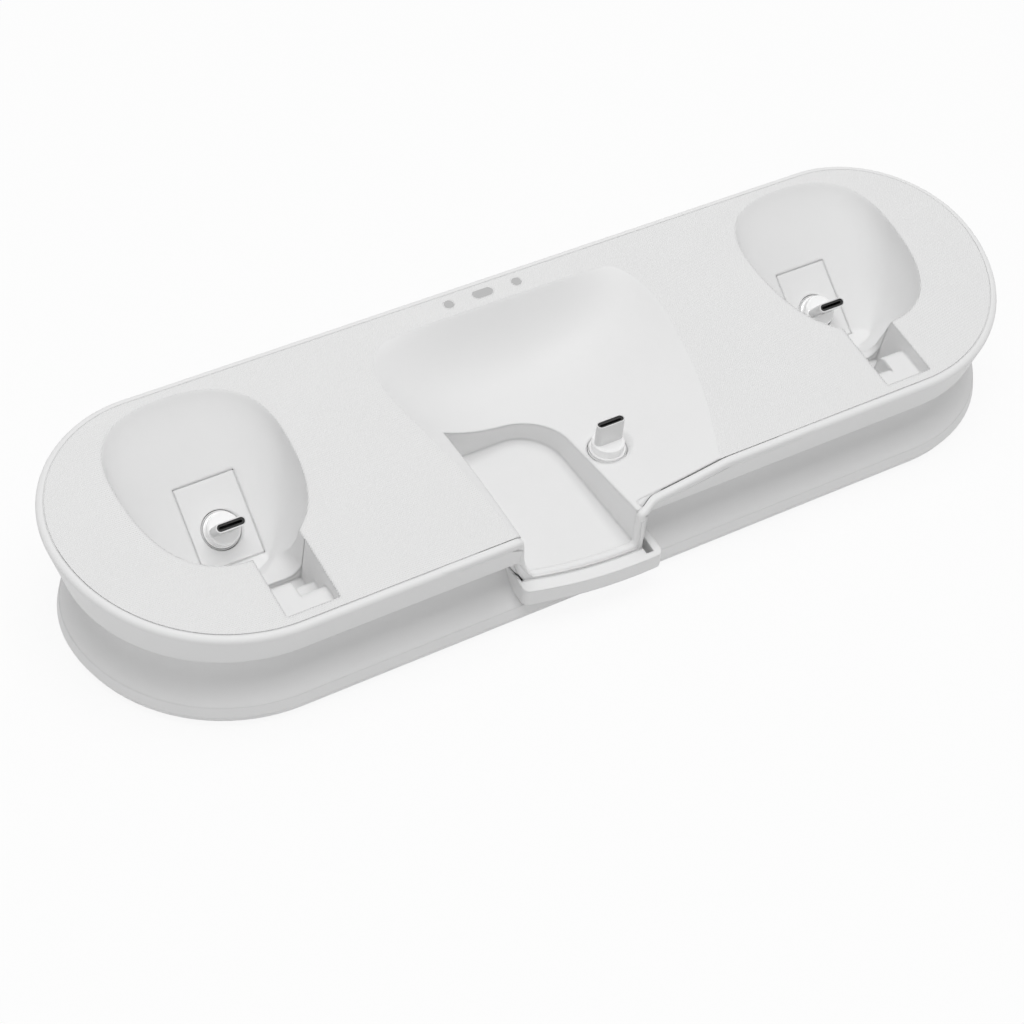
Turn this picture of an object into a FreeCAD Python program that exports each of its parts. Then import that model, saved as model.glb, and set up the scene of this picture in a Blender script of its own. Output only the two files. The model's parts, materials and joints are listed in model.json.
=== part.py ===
"""Charging dock for a headset and two hand controllers.

A long racetrack body stands on a flared foot with a deep cove all round.  Its top
slopes down to the front and carries a scooped headset seat with a U-shaped trough,
and a sloping cradle with a front slot for each controller.  Each bay has a USB-C tip
that stands on a polished disc, lifts off its magnetic socket, and tilts with it in a
soft grommet.

World frame: X along the length, Y to the back, Z up, origin on the resting face.
Millimetres.  Every size is a cell of the sheet named Sizes.
"""
import FreeCAD, Part
import math
import os
import Sketcher
from FreeCAD import Matrix, Placement, Rotation, Vector

doc = FreeCAD.newDocument("HeadsetDock")
sheet = doc.addObject("Spreadsheet::Sheet", "Sizes")

SIZES = [
    # body and top
    ("top_height", 37.0, "height of the sloping top above the resting face, at mid depth"),
    ("top_tilt", 7.4, "slope of the top, falling to the front, degrees"),
    ("waist_height", 21.5, "height of the rim's lower edge"),
    ("waist_half_len", 137.8, "half length of the rim's lower edge"),
    ("waist_back_arc", 31.8, "radius of the back half of each end, at the waist"),
    ("waist_front_arc", 42.9, "radius of the front half of each end, at the waist"),
    ("waist_shift", 5.0, "height in plan of the end arcs' centres, at the waist"),
    ("rim_flare", 0.27, "outward lean of the rim wall, per unit of height"),
    ("rim_wall", 2.3, "width of the ledge outside the seam, and wall of the rim"),
    ("rim_round", 1.3, "rounding of the rim's outer top edge"),
    ("seam_gap", 0.3, "gap round the top cover"),
    ("cover_wall", 2.4, "thickness of the top cover's plate"),
    ("scoop_wall", 1.9, "wall of the scoops moulded into the cover"),
    ("flange_wall", 1.8, "thickness of the rim's inner flanges"),
    ("flange_reach", 8.5, "how far the rim's inner flanges reach in"),
    # base
    ("foot_reach", 2.4, "how far the foot reaches past the waist at each end"),
    ("foot_back_more", 4.0, "how much larger the back arcs are at the foot"),
    ("foot_front_more", 1.8, "how much larger the front arcs are at the foot"),
    ("foot_shift_less", 1.0, "how much nearer the front the arcs' centres are at the foot"),
    ("base_bottom", 0.8, "clearance of the base's edge above the table"),
    ("base_wall", 2.3, "wall of the base"),
    ("bead_height", 6.2, "height of the bead where the cove starts"),
    ("cove_height", 14.4, "height of the cove's deepest line"),
    ("cove_depth", 10.0, "depth of the cove's deepest line"),
    ("plate_bottom", 1.2, "underside of the bottom plate"),
    ("plate_wall", 2.4, "thickness of the bottom plate"),
    ("pad_radius", 7.0, "radius of a rubber foot"),
    # headset seat
    ("seat_back", 32.5, "back edge of the headset seat"),
    ("seat_half", 42.0, "half width of the seat at its widest"),
    ("seat_depth", 12.5, "greatest depth of the seat"),
    ("trough_left", -33.5, "left wall of the trough"),
    ("trough_right", 1.2, "right wall of the trough"),
    ("trough_back", 1.4, "back end of the trough"),
    ("trough_lean", 0.085, "lean of the trough's right wall in plan, per unit of length"),
    ("trough_corner", 13.0, "rounding in plan where the right wall meets the back"),
    ("trough_depth", 18.0, "depth of the trough's floor under the top"),
    ("trough_round", 5.0, "how far the trough's left wall curves in at the floor"),
    # lip
    ("lip_depth", 18.3, "depth of the front lip's surface under the top"),
    ("lip_bottom", 8.0, "underside of the front lip"),
    ("lip_left", -32.8, "left end of the front lip"),
    ("lip_right", 7.2, "right end of the front lip"),
    ("lip_front", -43.4, "middle of the lip's front edge"),
    ("lip_bow", 1.6, "how far the lip's front bows out"),
    ("lip_skew", 2.1, "how much further out the lip stands at its right end than in the middle"),
    ("lip_slot_wide", 2.2, "width of the slot in the lip"),
    ("lip_slot_back", -37.0, "back end of the slot in the lip"),
    ("lip_slot_front", -43.8, "front end of the slot in the lip"),
    ("chin_front", -38.9, "middle of the rim's edge in front of the trough"),
    ("chin_wall", 2.2, "width of the rim's edge in front of the trough"),
    ("chin_side", 1.6, "width of the rim's edge beside the trough"),
    ("chin_skew", 2.6, "how much further out the rim's edge stands at its right end than in the middle"),
    ("chin_gap", 0.5, "groove between the rim and the lip"),
    # controller cradles
    ("cradle_x", 96.6, "centre of a cradle from the middle"),
    ("cradle_half", 23.5, "half width of a cradle at the top"),
    ("cradle_back", 37.8, "back edge of a cradle"),
    ("cradle_front", -17.4, "front edge of a cradle"),
    ("cradle_depth", 23.5, "depth of a cradle"),
    ("slot_x", 90.8, "centre of a cradle's front slot from the middle"),
    ("slot_wide", 14.4, "width of the front slot"),
    ("slot_back", -17.0, "back face of the slot, under the cradle's channel"),
    ("slot_end", -36.0, "front end of the slot"),
    ("slot_deep", 16.0, "depth of the pocket behind the sills"),
    ("pocket_front", -23.5, "front face of the pocket, and end of the outer sill"),
    ("slot_floor", 9.5, "depth of the step behind the inner sill"),
    ("step_front", -28.0, "front face of the step, and end of the inner sill"),
    ("sill_depth", 4.0, "depth of both sills under the top"),
    ("sill_round", 3.0, "rounding of the sills' inner edges"),
    ("channel_low", 14.3, "depth of the cradle's channel where it meets the slot"),
    ("channel_deep", 22.6, "depth of the channel at its inner end"),
    ("channel_end", -2.0, "inner end of the channel"),
    ("channel_round", 4.0, "rounding of the channel's floor corners"),
    ("panel_x", 94.2, "centre of an insert panel from the middle"),
    ("panel_wide", 16.6, "width of an insert panel"),
    ("panel_long", 22.6, "length of an insert panel along the slope"),
    ("panel_gap", 0.2, "parting gap round the panel"),
    ("slope", 30.3, "slope of the cradle floor against the top, degrees"),
    # tips and sockets
    ("side_tip_y", 6.5, "side tips, along the sloping top"),
    ("side_tip_depth", 19.1, "side tips, depth under the top"),
    ("mid_tip_x", 5.9, "centre tip, across"),
    ("mid_tip_y", -18.1, "centre tip, along the sloping top"),
    ("mid_tip_depth", 7.7, "centre tip, depth under the top"),
    ("mid_tip_lean", 0.0, "lean of the centre tip from the vertical, degrees"),
    ("well_radius", 5.4, "radius of the round well"),
    ("well_bevel", 0.55, "bevel round the well"),
    ("socket_radius", 4.6, "radius of the socket"),
    ("socket_long", 7.4, "length of the socket"),
    ("socket_top", -1.6, "socket's top under the well's mouth"),
    ("flange_radius", 4.85, "radius of the tip's flange"),
    ("flange_thick", 1.3, "thickness of the tip's flange"),
    ("disc_radius", 4.45, "radius of the tip's polished disc"),
    ("disc_top", 2.6, "top of the polished disc over the well's mouth"),
    ("shell_wide", 8.34, "width of the USB-C shell"),
    ("shell_thick", 2.56, "thickness of the USB-C shell"),
    ("shell_long", 6.65, "length of the USB-C shell"),
    ("shell_wall", 0.3, "wall of the USB-C shell"),
    ("sleeve_radius", 7.0, "outer radius of the sleeve under a well"),
    ("sleeve_bore", 5.6, "bore of the sleeve under a well"),
    ("sleeve_long", 7.0, "length of the sleeve under a well"),
    ("grommet_thick", 2.4, "thickness of the soft grommet"),
    # lights, board and fastenings
    ("light_y", 37.1, "line of the status windows, along the sloping top"),
    ("light_x", -2.1, "middle of the row of status windows, across"),
    ("light_pitch", 10.6, "distance between status windows"),
    ("light_radius", 1.35, "radius of the round status windows"),
    ("light_long", 6.0, "length of the oval status window"),
    ("board_wide", 92.0, "width of the main board"),
    ("board_deep", 38.0, "depth of the main board"),
    ("board_wall", 1.6, "thickness of the main board"),
    ("board_z", 6.6, "underside of the main board"),
    ("board_back", 31.3, "back edge of the main board"),
    ("inlet_wide", 8.94, "width of the power inlet's shell"),
    ("inlet_high", 3.26, "height of the power inlet's shell"),
    ("inlet_long", 7.4, "length of the power inlet"),
    ("post_radius", 3.4, "radius of the cover's screw posts"),
    ("screw_radius", 1.4, "radius of a screw's shank"),
    ("screw_head", 2.7, "radius of a screw's head"),
]
for row, (alias, value, note) in enumerate(SIZES, 1):
    sheet.set("A%d" % row, alias)
    sheet.set("B%d" % row, str(value))
    sheet.set("C%d" % row, note)
    sheet.setAlias("B%d" % row, alias)
doc.recompute()


class Dim:
    """A size as a number together with the sheet expression that drives it."""

    def __init__(self, value, text):
        self.value = float(value)
        self.text = text

    def join(self, other, sign, value):
        text = other.text if isinstance(other, Dim) else repr(float(other))
        return Dim(value, "(%s %s %s)" % (self.text, sign, text))

    def __add__(self, other):
        return self.join(other, "+", self.value + num(other))

    def __sub__(self, other):
        return self.join(other, "-", self.value - num(other))

    def __mul__(self, other):
        return self.join(other, "*", self.value * num(other))

    def __truediv__(self, other):
        return self.join(other, "/", self.value / num(other))

    def __neg__(self):
        return Dim(-self.value, "(0 - %s)" % self.text)


def num(size):
    return size.value if isinstance(size, Dim) else float(size)


def D(alias):
    return Dim(sheet.get(alias), "Sizes." + alias)


def V(alias):
    return float(sheet.get(alias))


def drive(obj, prop, size):
    if isinstance(size, Dim):
        obj.setExpression(prop, size.text)
    else:
        holder, _, last = prop.rpartition(".")
        if not holder:
            setattr(obj, last, size)


def place(obj, x=0.0, y=0.0, z=0.0, rotation=None):
    """Places an object and ties its position to the sheet."""
    obj.Placement = Placement(Vector(num(x), num(y), num(z)), rotation or Rotation())
    for axis, size in (("x", x), ("y", y), ("z", z)):
        if isinstance(size, Dim):
            obj.setExpression("Placement.Base." + axis, size.text)
    return obj


TILT = Rotation(Vector(1, 0, 0), V("top_tilt"))
TOP = Placement(Vector(0, 0, V("top_height")), TILT)


def tilt(obj):
    """Puts an object that is drawn on the sloping top into the world."""
    obj.Placement = TOP.copy()
    obj.setExpression("Placement.Base.z", "Sizes.top_height")
    obj.setExpression("Placement.Rotation.Angle", "Sizes.top_tilt * 1 deg")
    return obj


def make(kind, name, **sizes):
    obj = doc.addObject(kind, name)
    for prop, size in sizes.items():
        drive(obj, prop, size)
    return obj


def box(name, x0, x1, y0, y1, z0, z1):
    """Part::Box between two corners, each side a number or a sheet size."""
    def span(a, b):
        return b - a if isinstance(b, Dim) else (Dim(num(b), repr(num(b))) - a)
    obj = make("Part::Box", name, Length=span(x0, x1), Width=span(y0, y1), Height=span(z0, z1))
    return place(obj, x0, y0, z0)


def cylinder(name, radius, height, **at):
    return place(make("Part::Cylinder", name, Radius=radius, Height=height), **at)


def fuse(name, *shapes):
    obj = doc.addObject("Part::MultiFuse", name)
    obj.Shapes = list(shapes)
    return obj


def cut(name, base, tool):
    obj = doc.addObject("Part::Cut", name)
    obj.Base = base
    obj.Tool = tool
    return obj


def common(name, *shapes):
    obj = doc.addObject("Part::MultiCommon", name)
    obj.Shapes = list(shapes)
    return obj


def feature(name, shape, on_top=True):
    """A sculpted shape that no feature or primitive gives; its sizes come from the sheet."""
    obj = doc.addObject("Part::Feature", name)
    obj.Shape = shape
    if on_top:
        obj.Placement = TOP.copy()
    return obj


NODES = {}


def node(obj, label):
    obj.Label = label
    NODES[label] = obj
    return obj


# ---------------------------------------------------------------- sketches


def new_sketch(body, role, name, lift=None):
    plane = [f for f in body.Origin.OriginFeatures if f.Role == role][0]
    sketch = body.newObject("Sketcher::SketchObject", name)
    sketch.AttachmentSupport = [(plane, "")]
    sketch.MapMode = "FlatFace"
    if isinstance(lift, Dim):
        sketch.AttachmentOffset = Placement(Vector(0, 0, lift.value), Rotation())
        sketch.setExpression("AttachmentOffset.Base.z", lift.text)
    return sketch


def pin_point(sketch, geo, end, x, y):
    """Dimensions a sketch point from the sketch's origin."""
    for kind, size in (("DistanceX", x), ("DistanceY", y)):
        value = num(size)
        if abs(value) < 1e-9:
            continue
        pair = (-1, 1, geo, end) if value > 0 else (geo, end, -1, 1)
        index = sketch.addConstraint(Sketcher.Constraint(kind, *pair, abs(value)))
        if isinstance(size, Dim):
            sketch.setExpression("Constraints[%d]" % index, size.text if value > 0 else (-size).text)


def polygon(sketch, points):
    """Closed straight-sided profile whose corners are sheet sizes."""
    flat = [Vector(num(x), num(y), 0) for x, y in points]
    count = len(flat)
    first = len(sketch.Geometry)
    for i in range(count):
        sketch.addGeometry(Part.LineSegment(flat[i], flat[(i + 1) % count]), False)
    for i in range(count):
        after = first + (i + 1) % count
        sketch.addConstraint(Sketcher.Constraint("Coincident", first + i, 2, after, 1))
    for i, (x, y) in enumerate(points):
        pin_point(sketch, first + i, 1, x, y)
    return sketch


def racetrack(sketch, half_len, back_arc, front_arc, shift, inset):
    """Two straights, with a smaller back arc and a larger front arc at each end."""
    rb = back_arc - inset
    rf = front_arc - inset
    xb = half_len - back_arc
    xf = half_len - front_arc
    top = num(shift) + num(rb)
    low = num(shift) - num(rf)
    half = math.pi / 2
    centre_b = Vector(num(xb), num(shift), 0)
    centre_f = Vector(num(xf), num(shift), 0)
    up = Vector(0, 0, 1)
    back_r = Part.ArcOfCircle(Part.Circle(centre_b, up, num(rb)), 0, half)
    front_r = Part.ArcOfCircle(Part.Circle(centre_f, up, num(rf)), -half, 0)
    centre_b = Vector(-num(xb), num(shift), 0)
    centre_f = Vector(-num(xf), num(shift), 0)
    back_l = Part.ArcOfCircle(Part.Circle(centre_b, up, num(rb)), half, math.pi)
    front_l = Part.ArcOfCircle(Part.Circle(centre_f, up, num(rf)), math.pi, 3 * half)
    back = Part.LineSegment(Vector(num(xb), top, 0), Vector(-num(xb), top, 0))
    front = Part.LineSegment(Vector(-num(xf), low, 0), Vector(num(xf), low, 0))
    for curve in (back_r, back, back_l, front_l, front, front_r):
        sketch.addGeometry(curve, False)
    rule = Sketcher.Constraint
    for geo, x, radius in ((0, xb, rb), (2, -xb, rb)):
        pin_point(sketch, geo, 3, x, shift)
        index = sketch.addConstraint(rule("Radius", geo, num(radius)))
        sketch.setExpression("Constraints[%d]" % index, radius.text)
    for geo, x in ((3, -xf), (5, xf)):
        pin_point(sketch, geo, 3, x, shift)
    # arcs end level with, or straight above and below, their centres
    sketch.addConstraint(rule("Horizontal", 0, 1, 0, 3))
    sketch.addConstraint(rule("Vertical", 0, 2, 0, 3))
    sketch.addConstraint(rule("Vertical", 2, 1, 2, 3))
    sketch.addConstraint(rule("Horizontal", 2, 2, 2, 3))
    sketch.addConstraint(rule("Vertical", 3, 2, 3, 3))
    sketch.addConstraint(rule("Vertical", 5, 1, 5, 3))
    sketch.addConstraint(rule("Coincident", 2, 2, 3, 1))
    sketch.addConstraint(rule("Coincident", 0, 1, 5, 2))
    sketch.addConstraint(rule("Coincident", 0, 2, 1, 1))
    sketch.addConstraint(rule("Coincident", 1, 2, 2, 1))
    sketch.addConstraint(rule("Coincident", 3, 2, 4, 1))
    sketch.addConstraint(rule("Coincident", 4, 2, 5, 1))
    return sketch


def waist_track(sketch, inset):
    shape = (D("waist_half_len"), D("waist_back_arc"), D("waist_front_arc"), D("waist_shift"))
    return racetrack(sketch, *shape, inset)


def foot_track(sketch, inset):
    shape = (D("waist_half_len") + D("foot_reach"), D("waist_back_arc") + D("foot_back_more"),
             D("waist_front_arc") + D("foot_front_more"), D("waist_shift") - D("foot_shift_less"))
    return racetrack(sketch, *shape, inset)


def flared_prism(name, inset, below, above):
    """The racetrack body between two heights, with the rim's outward lean."""
    body = doc.addObject("PartDesign::Body", name)
    rise = D("rim_flare")
    low = new_sketch(body, "XY_Plane", name + "Low", D("waist_height") - below)
    waist_track(low, inset + rise * below)
    high = new_sketch(body, "XY_Plane", name + "High", D("waist_height") + above)
    waist_track(high, inset - rise * above)
    loft = body.newObject("PartDesign::AdditiveLoft", name + "Loft")
    loft.Profile = low
    loft.Sections = [high]
    loft.Ruled = True
    return body


# ---------------------------------------------------------------- sculpted forms


def bezier(points):
    curve = Part.BezierCurve()
    curve.setPoles(points)
    return curve.toShape()


def oval(x, y_back, y_wide, y_front, half, square, z):
    """Egg-shaped section of four curves; square fills its corners out."""
    handle = 0.5523 + 0.2 * (square - 2.0)
    corners = ((1, 1), (-1, 1), (-1, -1), (1, -1))
    edges = []
    for i, (sx, sy) in enumerate(corners):
        reach = y_back - y_wide if sy > 0 else y_wide - y_front
        side = Vector(x + sx * half, y_wide, z)
        side_pole = Vector(x + sx * half, y_wide + sy * reach * handle, z)
        end_pole = Vector(x + sx * half * handle, y_wide + sy * reach, z)
        end = Vector(x, y_wide + sy * reach, z)
        poles = [side, side_pole, end_pole, end]
        edges.append(bezier(poles if i % 2 == 0 else poles[::-1]))
    return Part.Wire(edges)


# share of the depth, back edge, front edge, half width, line of the widest point, squareness
SCOOP = [
    (-0.10, 1.03, -0.01, 1.02, 0.66, 2.6),
    (0.00, 1.00, 0.00, 1.00, 0.62, 2.6),
    (0.17, 0.91, 0.01, 0.96, 0.54, 2.5),
    (0.38, 0.765, 0.03, 0.88, 0.45, 2.3),
    (0.60, 0.61, 0.055, 0.775, 0.38, 2.1),
    (0.81, 0.455, 0.12, 0.64, 0.32, 1.9),
    (1.00, 0.315, 0.19, 0.48, 0.26, 1.8),
]


def scoop(side, wall):
    """Cradle hollow on the sloping top; wall grows it into the moulded shell outside."""
    front = V("cradle_front") - wall
    span = V("cradle_back") + wall - front
    half = V("cradle_half") + wall
    depth = V("cradle_depth") + wall
    wires = []
    for deep, back, fore, width, widest, power in SCOOP:
        y_back = front + span * back
        y_front = front + span * fore
        y_wide = front + span * widest
        x = side * V("cradle_x")
        wires.append(oval(x, y_back, y_wide, y_front, half * width, power, -depth * deep))
    return Part.makeLoft(wires, True, False)


# along the top, left edge, right edge, line of the lowest point, share of the depth, squareness
SEAT = [
    (-52.0, -0.83, 0.64, -0.33, 0.62, 1.5),
    (-38.5, -0.83, 0.645, -0.33, 0.63, 1.5),
    (-20.0, -0.86, 0.82, -0.26, 0.74, 1.7),
    (-2.0, -0.93, 0.93, -0.19, 0.89, 2.0),
    (12.0, -1.00, 0.98, -0.12, 1.00, 2.3),
    (22.0, -1.01, 0.97, -0.07, 0.80, 2.5),
    (28.0, -0.96, 0.92, -0.02, 0.42, 2.6),
]


def seat(wall):
    """Headset seat: a dish that is deepest behind the middle and runs out at the front."""
    wires = []
    half = V("seat_half")
    for y, left, right, low, share, power in SEAT:
        deep = V("seat_depth") * share
        wires.append(dish(y, half * low, half * left - wall, half * right + wall, deep, wall, power))
    back = V("seat_back") + wall
    wires.append(dish(back, 0.0, -0.80 * half - wall, 0.80 * half + wall, 0.4, wall * 0.6, 2.6))
    wires.append(dish(back + 4.5, 0.0, -0.66 * half - wall, 0.66 * half + wall, 0.4, wall * 0.6 - 4.0, 2.6))
    return Part.makeLoft(wires, True, False)


def dish(y, x_low, x_left, x_right, deep, drop, power):
    """Cross-section of the seat: a curve from edge to edge, closed above the top."""
    high = 9.0
    over = 1.15
    curves = []
    for edge in (x_left, x_right):
        width = (edge - x_low) * over
        rise = deep * (over ** power - 1)
        slope = power * deep * over ** power / width
        end = Vector(x_low + width, y, rise - drop)
        first = Vector(x_low + width * (0.2 + power * 0.08), y, -deep - drop)
        second = Vector(end.x - width / 3, y, end.z - slope * width / 3)
        curves.append((Vector(x_low, y, -deep - drop), first, second, end))
    left = bezier(list(curves[0])[::-1])
    right = bezier(list(curves[1]))
    a = Vector(curves[1][3].x, y, high)
    b = Vector(curves[0][3].x, y, high)
    sides = [Part.LineSegment(curves[1][3], a), Part.LineSegment(a, b), Part.LineSegment(b, curves[0][3])]
    return Part.Wire([left, right] + [side.toShape() for side in sides])


def trough(wall):
    """U-shaped trough: straight walls, round back end, left wall rounded into the floor."""
    left = V("trough_left") - wall
    right = V("trough_right") + wall
    floor = -V("trough_depth") - wall
    wide = right + 4
    run = V("trough_round")
    rise = 2.6 * run
    high = 10.0
    corner = Vector(left + run, 0, floor)
    middle = Vector(left + 0.25 * run, 0, floor + 0.42 * rise)
    start = Vector(left, 0, floor + rise)
    edges = [
        Part.Arc(start, middle, corner).toShape(),
        Part.LineSegment(corner, Vector(wide, 0, floor)).toShape(),
        Part.LineSegment(Vector(wide, 0, floor), Vector(wide, 0, high)).toShape(),
        Part.LineSegment(Vector(wide, 0, high), Vector(left, 0, high)).toShape(),
        Part.LineSegment(Vector(left, 0, high), start).toShape(),
    ]
    face = Part.Face(Part.Wire(edges))
    face.translate(Vector(0, -60, 0))
    section = face.extrude(Vector(0, 60 + V("trough_back") + wall, 0))
    back = V("trough_back") + wall
    lean = V("trough_lean")
    outline = [
        Vector(left - 5, -60, -40),
        Vector(right + lean * 19, -60, -40),
        Vector(right - lean * (back + 41), back, -40),
        Vector(left - 5, back, -40),
    ]
    plan = Part.Face(Part.makePolygon(outline + outline[:1])).extrude(Vector(0, 0, 60))
    corner_edge = []
    for edge in plan.Edges:
        ends = [v.Point for v in edge.Vertexes]
        if abs(ends[0].z - ends[1].z) > 1 and min(p.y for p in ends) > back - 1 and ends[0].x > left + 5:
            corner_edge.append(edge)
    plan = plan.makeFillet(V("trough_corner") + wall, corner_edge)
    return section.common(plan).removeSplitter()


def front_plan(x0, x1, line, skew, bow, deep, z0, z1, corner=0.0):
    """Upright block whose front follows the bowed, slightly skewed edge at the trough."""
    left = Vector(x0, line + skew, z0)
    right = Vector(x1, line - skew, z0)
    mid = Vector((x0 + x1) / 2, line - bow, z0)
    edges = [
        Part.Arc(left, mid, right).toShape(),
        Part.LineSegment(right, Vector(x1, deep, z0)).toShape(),
        Part.LineSegment(Vector(x1, deep, z0), Vector(x0, deep, z0)).toShape(),
        Part.LineSegment(Vector(x0, deep, z0), left).toShape(),
    ]
    block = Part.Face(Part.Wire(edges)).extrude(Vector(0, 0, z1 - z0))
    if corner > 0:
        upright = []
        for edge in block.Edges:
            ends = [v.Point for v in edge.Vertexes]
            if len(ends) == 2 and abs(ends[0].x - ends[1].x) < 1e-6 and abs(ends[0].z - ends[1].z) > 1:
                if ends[0].y < line + skew + 0.1:
                    upright.append(edge)
        block = block.makeFillet(corner, upright)
    return block


def channel(side, wall):
    """U-shaped channel that falls from the slot to the cradle's lowest line."""
    half = V("slot_wide") / 2 - 0.15 + wall
    x = side * V("slot_x")
    start = V("slot_back") - 0.6
    fall = (V("channel_deep") - V("channel_low")) / (V("channel_end") - V("slot_back"))
    wires = []
    for y in (start, V("channel_end")):
        floor = -V("channel_low") - fall * (y - V("slot_back")) - wall
        soft = V("channel_round") + wall
        turn = soft * (1 - math.sqrt(0.5))
        left, right, high = x - half, x + half, 10.0
        points = [
            Vector(left, y, high),
            Vector(left, y, floor + soft),
            Vector(left + turn, y, floor + turn),
            Vector(left + soft, y, floor),
            Vector(right - soft, y, floor),
            Vector(right - turn, y, floor + turn),
            Vector(right, y, floor + soft),
            Vector(right, y, high),
        ]
        edges = [
            Part.LineSegment(points[0], points[1]).toShape(),
            Part.Arc(points[1], points[2], points[3]).toShape(),
            Part.LineSegment(points[3], points[4]).toShape(),
            Part.Arc(points[4], points[5], points[6]).toShape(),
            Part.LineSegment(points[6], points[7]).toShape(),
            Part.LineSegment(points[7], points[0]).toShape(),
        ]
        wires.append(Part.Wire(edges))
    return Part.makeLoft(wires, True, True)


def sill_block(x0, x1, wall, edge, steps):
    """Block over a sill whose end at edge is rounded; steps are the corners behind and below."""
    front = V("slot_end") - wall
    sill = -V("sill_depth") - wall
    soft = V("sill_round") - wall
    turn = soft * (1 - math.sqrt(0.5))
    x = min(x0, x1)
    edge -= wall
    corners = [Vector(x, edge, sill - soft)]
    corners += [Vector(x, y, z) for y, z in steps]
    corners += [Vector(x, front, 10), Vector(x, front, sill), Vector(x, edge - soft, sill)]
    edges = [Part.LineSegment(a, b).toShape() for a, b in zip(corners, corners[1:])]
    edges.append(Part.Arc(corners[-1], Vector(x, edge - turn, sill - turn), corners[0]).toShape())
    return Part.Face(Part.Wire(edges)).extrude(Vector(abs(x1 - x0), 0, 0))


def slot_form(side, wall):
    """Front slot of a cradle: a pocket behind two rounded sills, the inner one shorter."""
    inner = side * (V("slot_x") - V("slot_wide") / 2 - wall)
    outer = side * (V("slot_x") + V("slot_wide") / 2 + wall)
    middle = side * V("slot_x")
    back = V("slot_back") + wall
    deep = -V("slot_deep") - wall
    pocket = V("pocket_front") - wall
    # the clearance goes on down through the rim's flange
    shelf = -V("slot_floor") - wall - (1.5 if wall > V("scoop_wall") else 0.0)
    behind = [(pocket, deep), (back, deep), (back, 10)]
    short = sill_block(inner, middle + side * wall, wall, V("step_front"), [(V("step_front") - wall, shelf),
                       (pocket, shelf)] + behind)
    long = sill_block(middle, outer, wall, V("pocket_front"), behind)
    return short.fuse(long).removeSplitter()


# ---------------------------------------------------------------- housing

zero = Dim(0, "0")
gap = D("seam_gap")
big = 400.0


def under_top(name, above, below):
    """Everything between two depths under the sloping top."""
    obj = make("Part::Box", name, Length=big, Width=200, Height=below - above)
    obj.Placement = TOP.multiply(Placement(Vector(-big / 2, -100, -num(below)), Rotation()))
    return obj


# base: foot with a bead, then a deep cove up to the rim
def base_form(prefix, extra):
    foot = doc.addObject("PartDesign::Body", prefix + "Foot")
    sections = []
    low = D("base_bottom") if num(extra) == 0 else Dim(-1, "(0 - 1)")
    for tag, z, inset in (
        ("A", low, 1.5),
        ("B", D("bead_height") * 0.5, 0.4),
        ("C", D("bead_height"), 1.1),
    ):
        sketch = new_sketch(foot, "XY_Plane", prefix + "Foot" + tag, z)
        foot_track(sketch, extra + inset)
        sections.append(sketch)
    loft = foot.newObject("PartDesign::AdditiveLoft", prefix + "FootLoft")
    loft.Profile = sections[0]
    loft.Sections = sections[1:]
    loft.Ruled = True
    cove = doc.addObject("PartDesign::Body", prefix + "Cove")
    sections = []
    bead = D("bead_height")
    rise = D("cove_height") - bead
    for tag, z, share in (
        ("A", bead, 0.12),
        ("B", bead + rise * 0.28, 0.50),
        ("C", bead + rise * 0.62, 0.83),
        ("D", bead + rise, 0.97),
        ("E", D("waist_height"), 1.0),
    ):
        sketch = new_sketch(cove, "XY_Plane", prefix + "Cove" + tag, z)
        foot_track(sketch, extra + D("cove_depth") * share)
        sections.append(sketch)
    loft = cove.newObject("PartDesign::AdditiveLoft", prefix + "CoveLoft")
    loft.Profile = sections[0]
    loft.Sections = sections[1:]
    return fuse(prefix + "Form", foot, cove)


base_outer = base_form("Base", zero)
base_inner = base_form("BaseInside", D("base_wall"))


def chin_block(name, grow, inner=-31.0):
    """The part of the rim that dips under the trough's front, grown for clearances."""
    left = V("trough_left") - V("chin_side") - grow
    right = V("trough_right") + V("chin_side") + grow
    skew = V("chin_skew")
    bow = V("lip_bow")
    block = front_plan(left, right, V("chin_front") - grow, skew, bow, inner, 0, 60)
    low = -V("trough_depth") - V("scoop_wall") - V("seam_gap") - 1.2 - grow
    run = V("trough_round")
    corners = [
        Vector(left + run, -80, low),
        Vector(right, -80, low),
        Vector(right, -80, 5),
        Vector(left, -80, 5),
        Vector(left, -80, low + 2.8 * run),
    ]
    side = Part.Face(Part.makePolygon(corners + corners[:1])).extrude(Vector(0, 80, 0))
    side.Placement = TOP
    return feature(name, block.common(side), on_top=False)


chin_clear = chin_block("ChinClear", V("chin_gap"), -20.0)
lip_plan = front_plan(V("lip_left"), V("lip_right"), V("lip_front"), V("lip_skew"), V("lip_bow"),
                      -27.5, V("lip_bottom"), 30, 2.0)
lip_block = feature("LipBlock", lip_plan, on_top=False)
lip_level = under_top("LipLevel", D("lip_depth"), Dim(60, "60"))
lip_low = common("LipLow", lip_block, lip_level)
slot_x0 = D("trough_right") + D("chin_side")
lip_slot = box("LipSlot", slot_x0, slot_x0 + D("lip_slot_wide"), D("lip_slot_front"),
               D("lip_slot_back"), D("lip_bottom") - 2, D("waist_height") + 2)
base_solid = fuse("BaseSolid", base_outer, lip_low)
inlet_w = D("inlet_wide") + 0.5
inlet_h = D("inlet_high") + 0.5
inlet_z = D("board_z") + D("board_wall")
inlet_hole = box("InletHole", inlet_w * -0.5, inlet_w * 0.5, Dim(24, "24"), Dim(45, "45"),
                 inlet_z - 0.25, inlet_z + D("inlet_high") + 0.25)
base_voids = fuse("BaseVoids", base_inner, chin_clear, lip_slot, inlet_hole)
base = cut("BaseHollowed", base_solid, base_voids)

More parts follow.
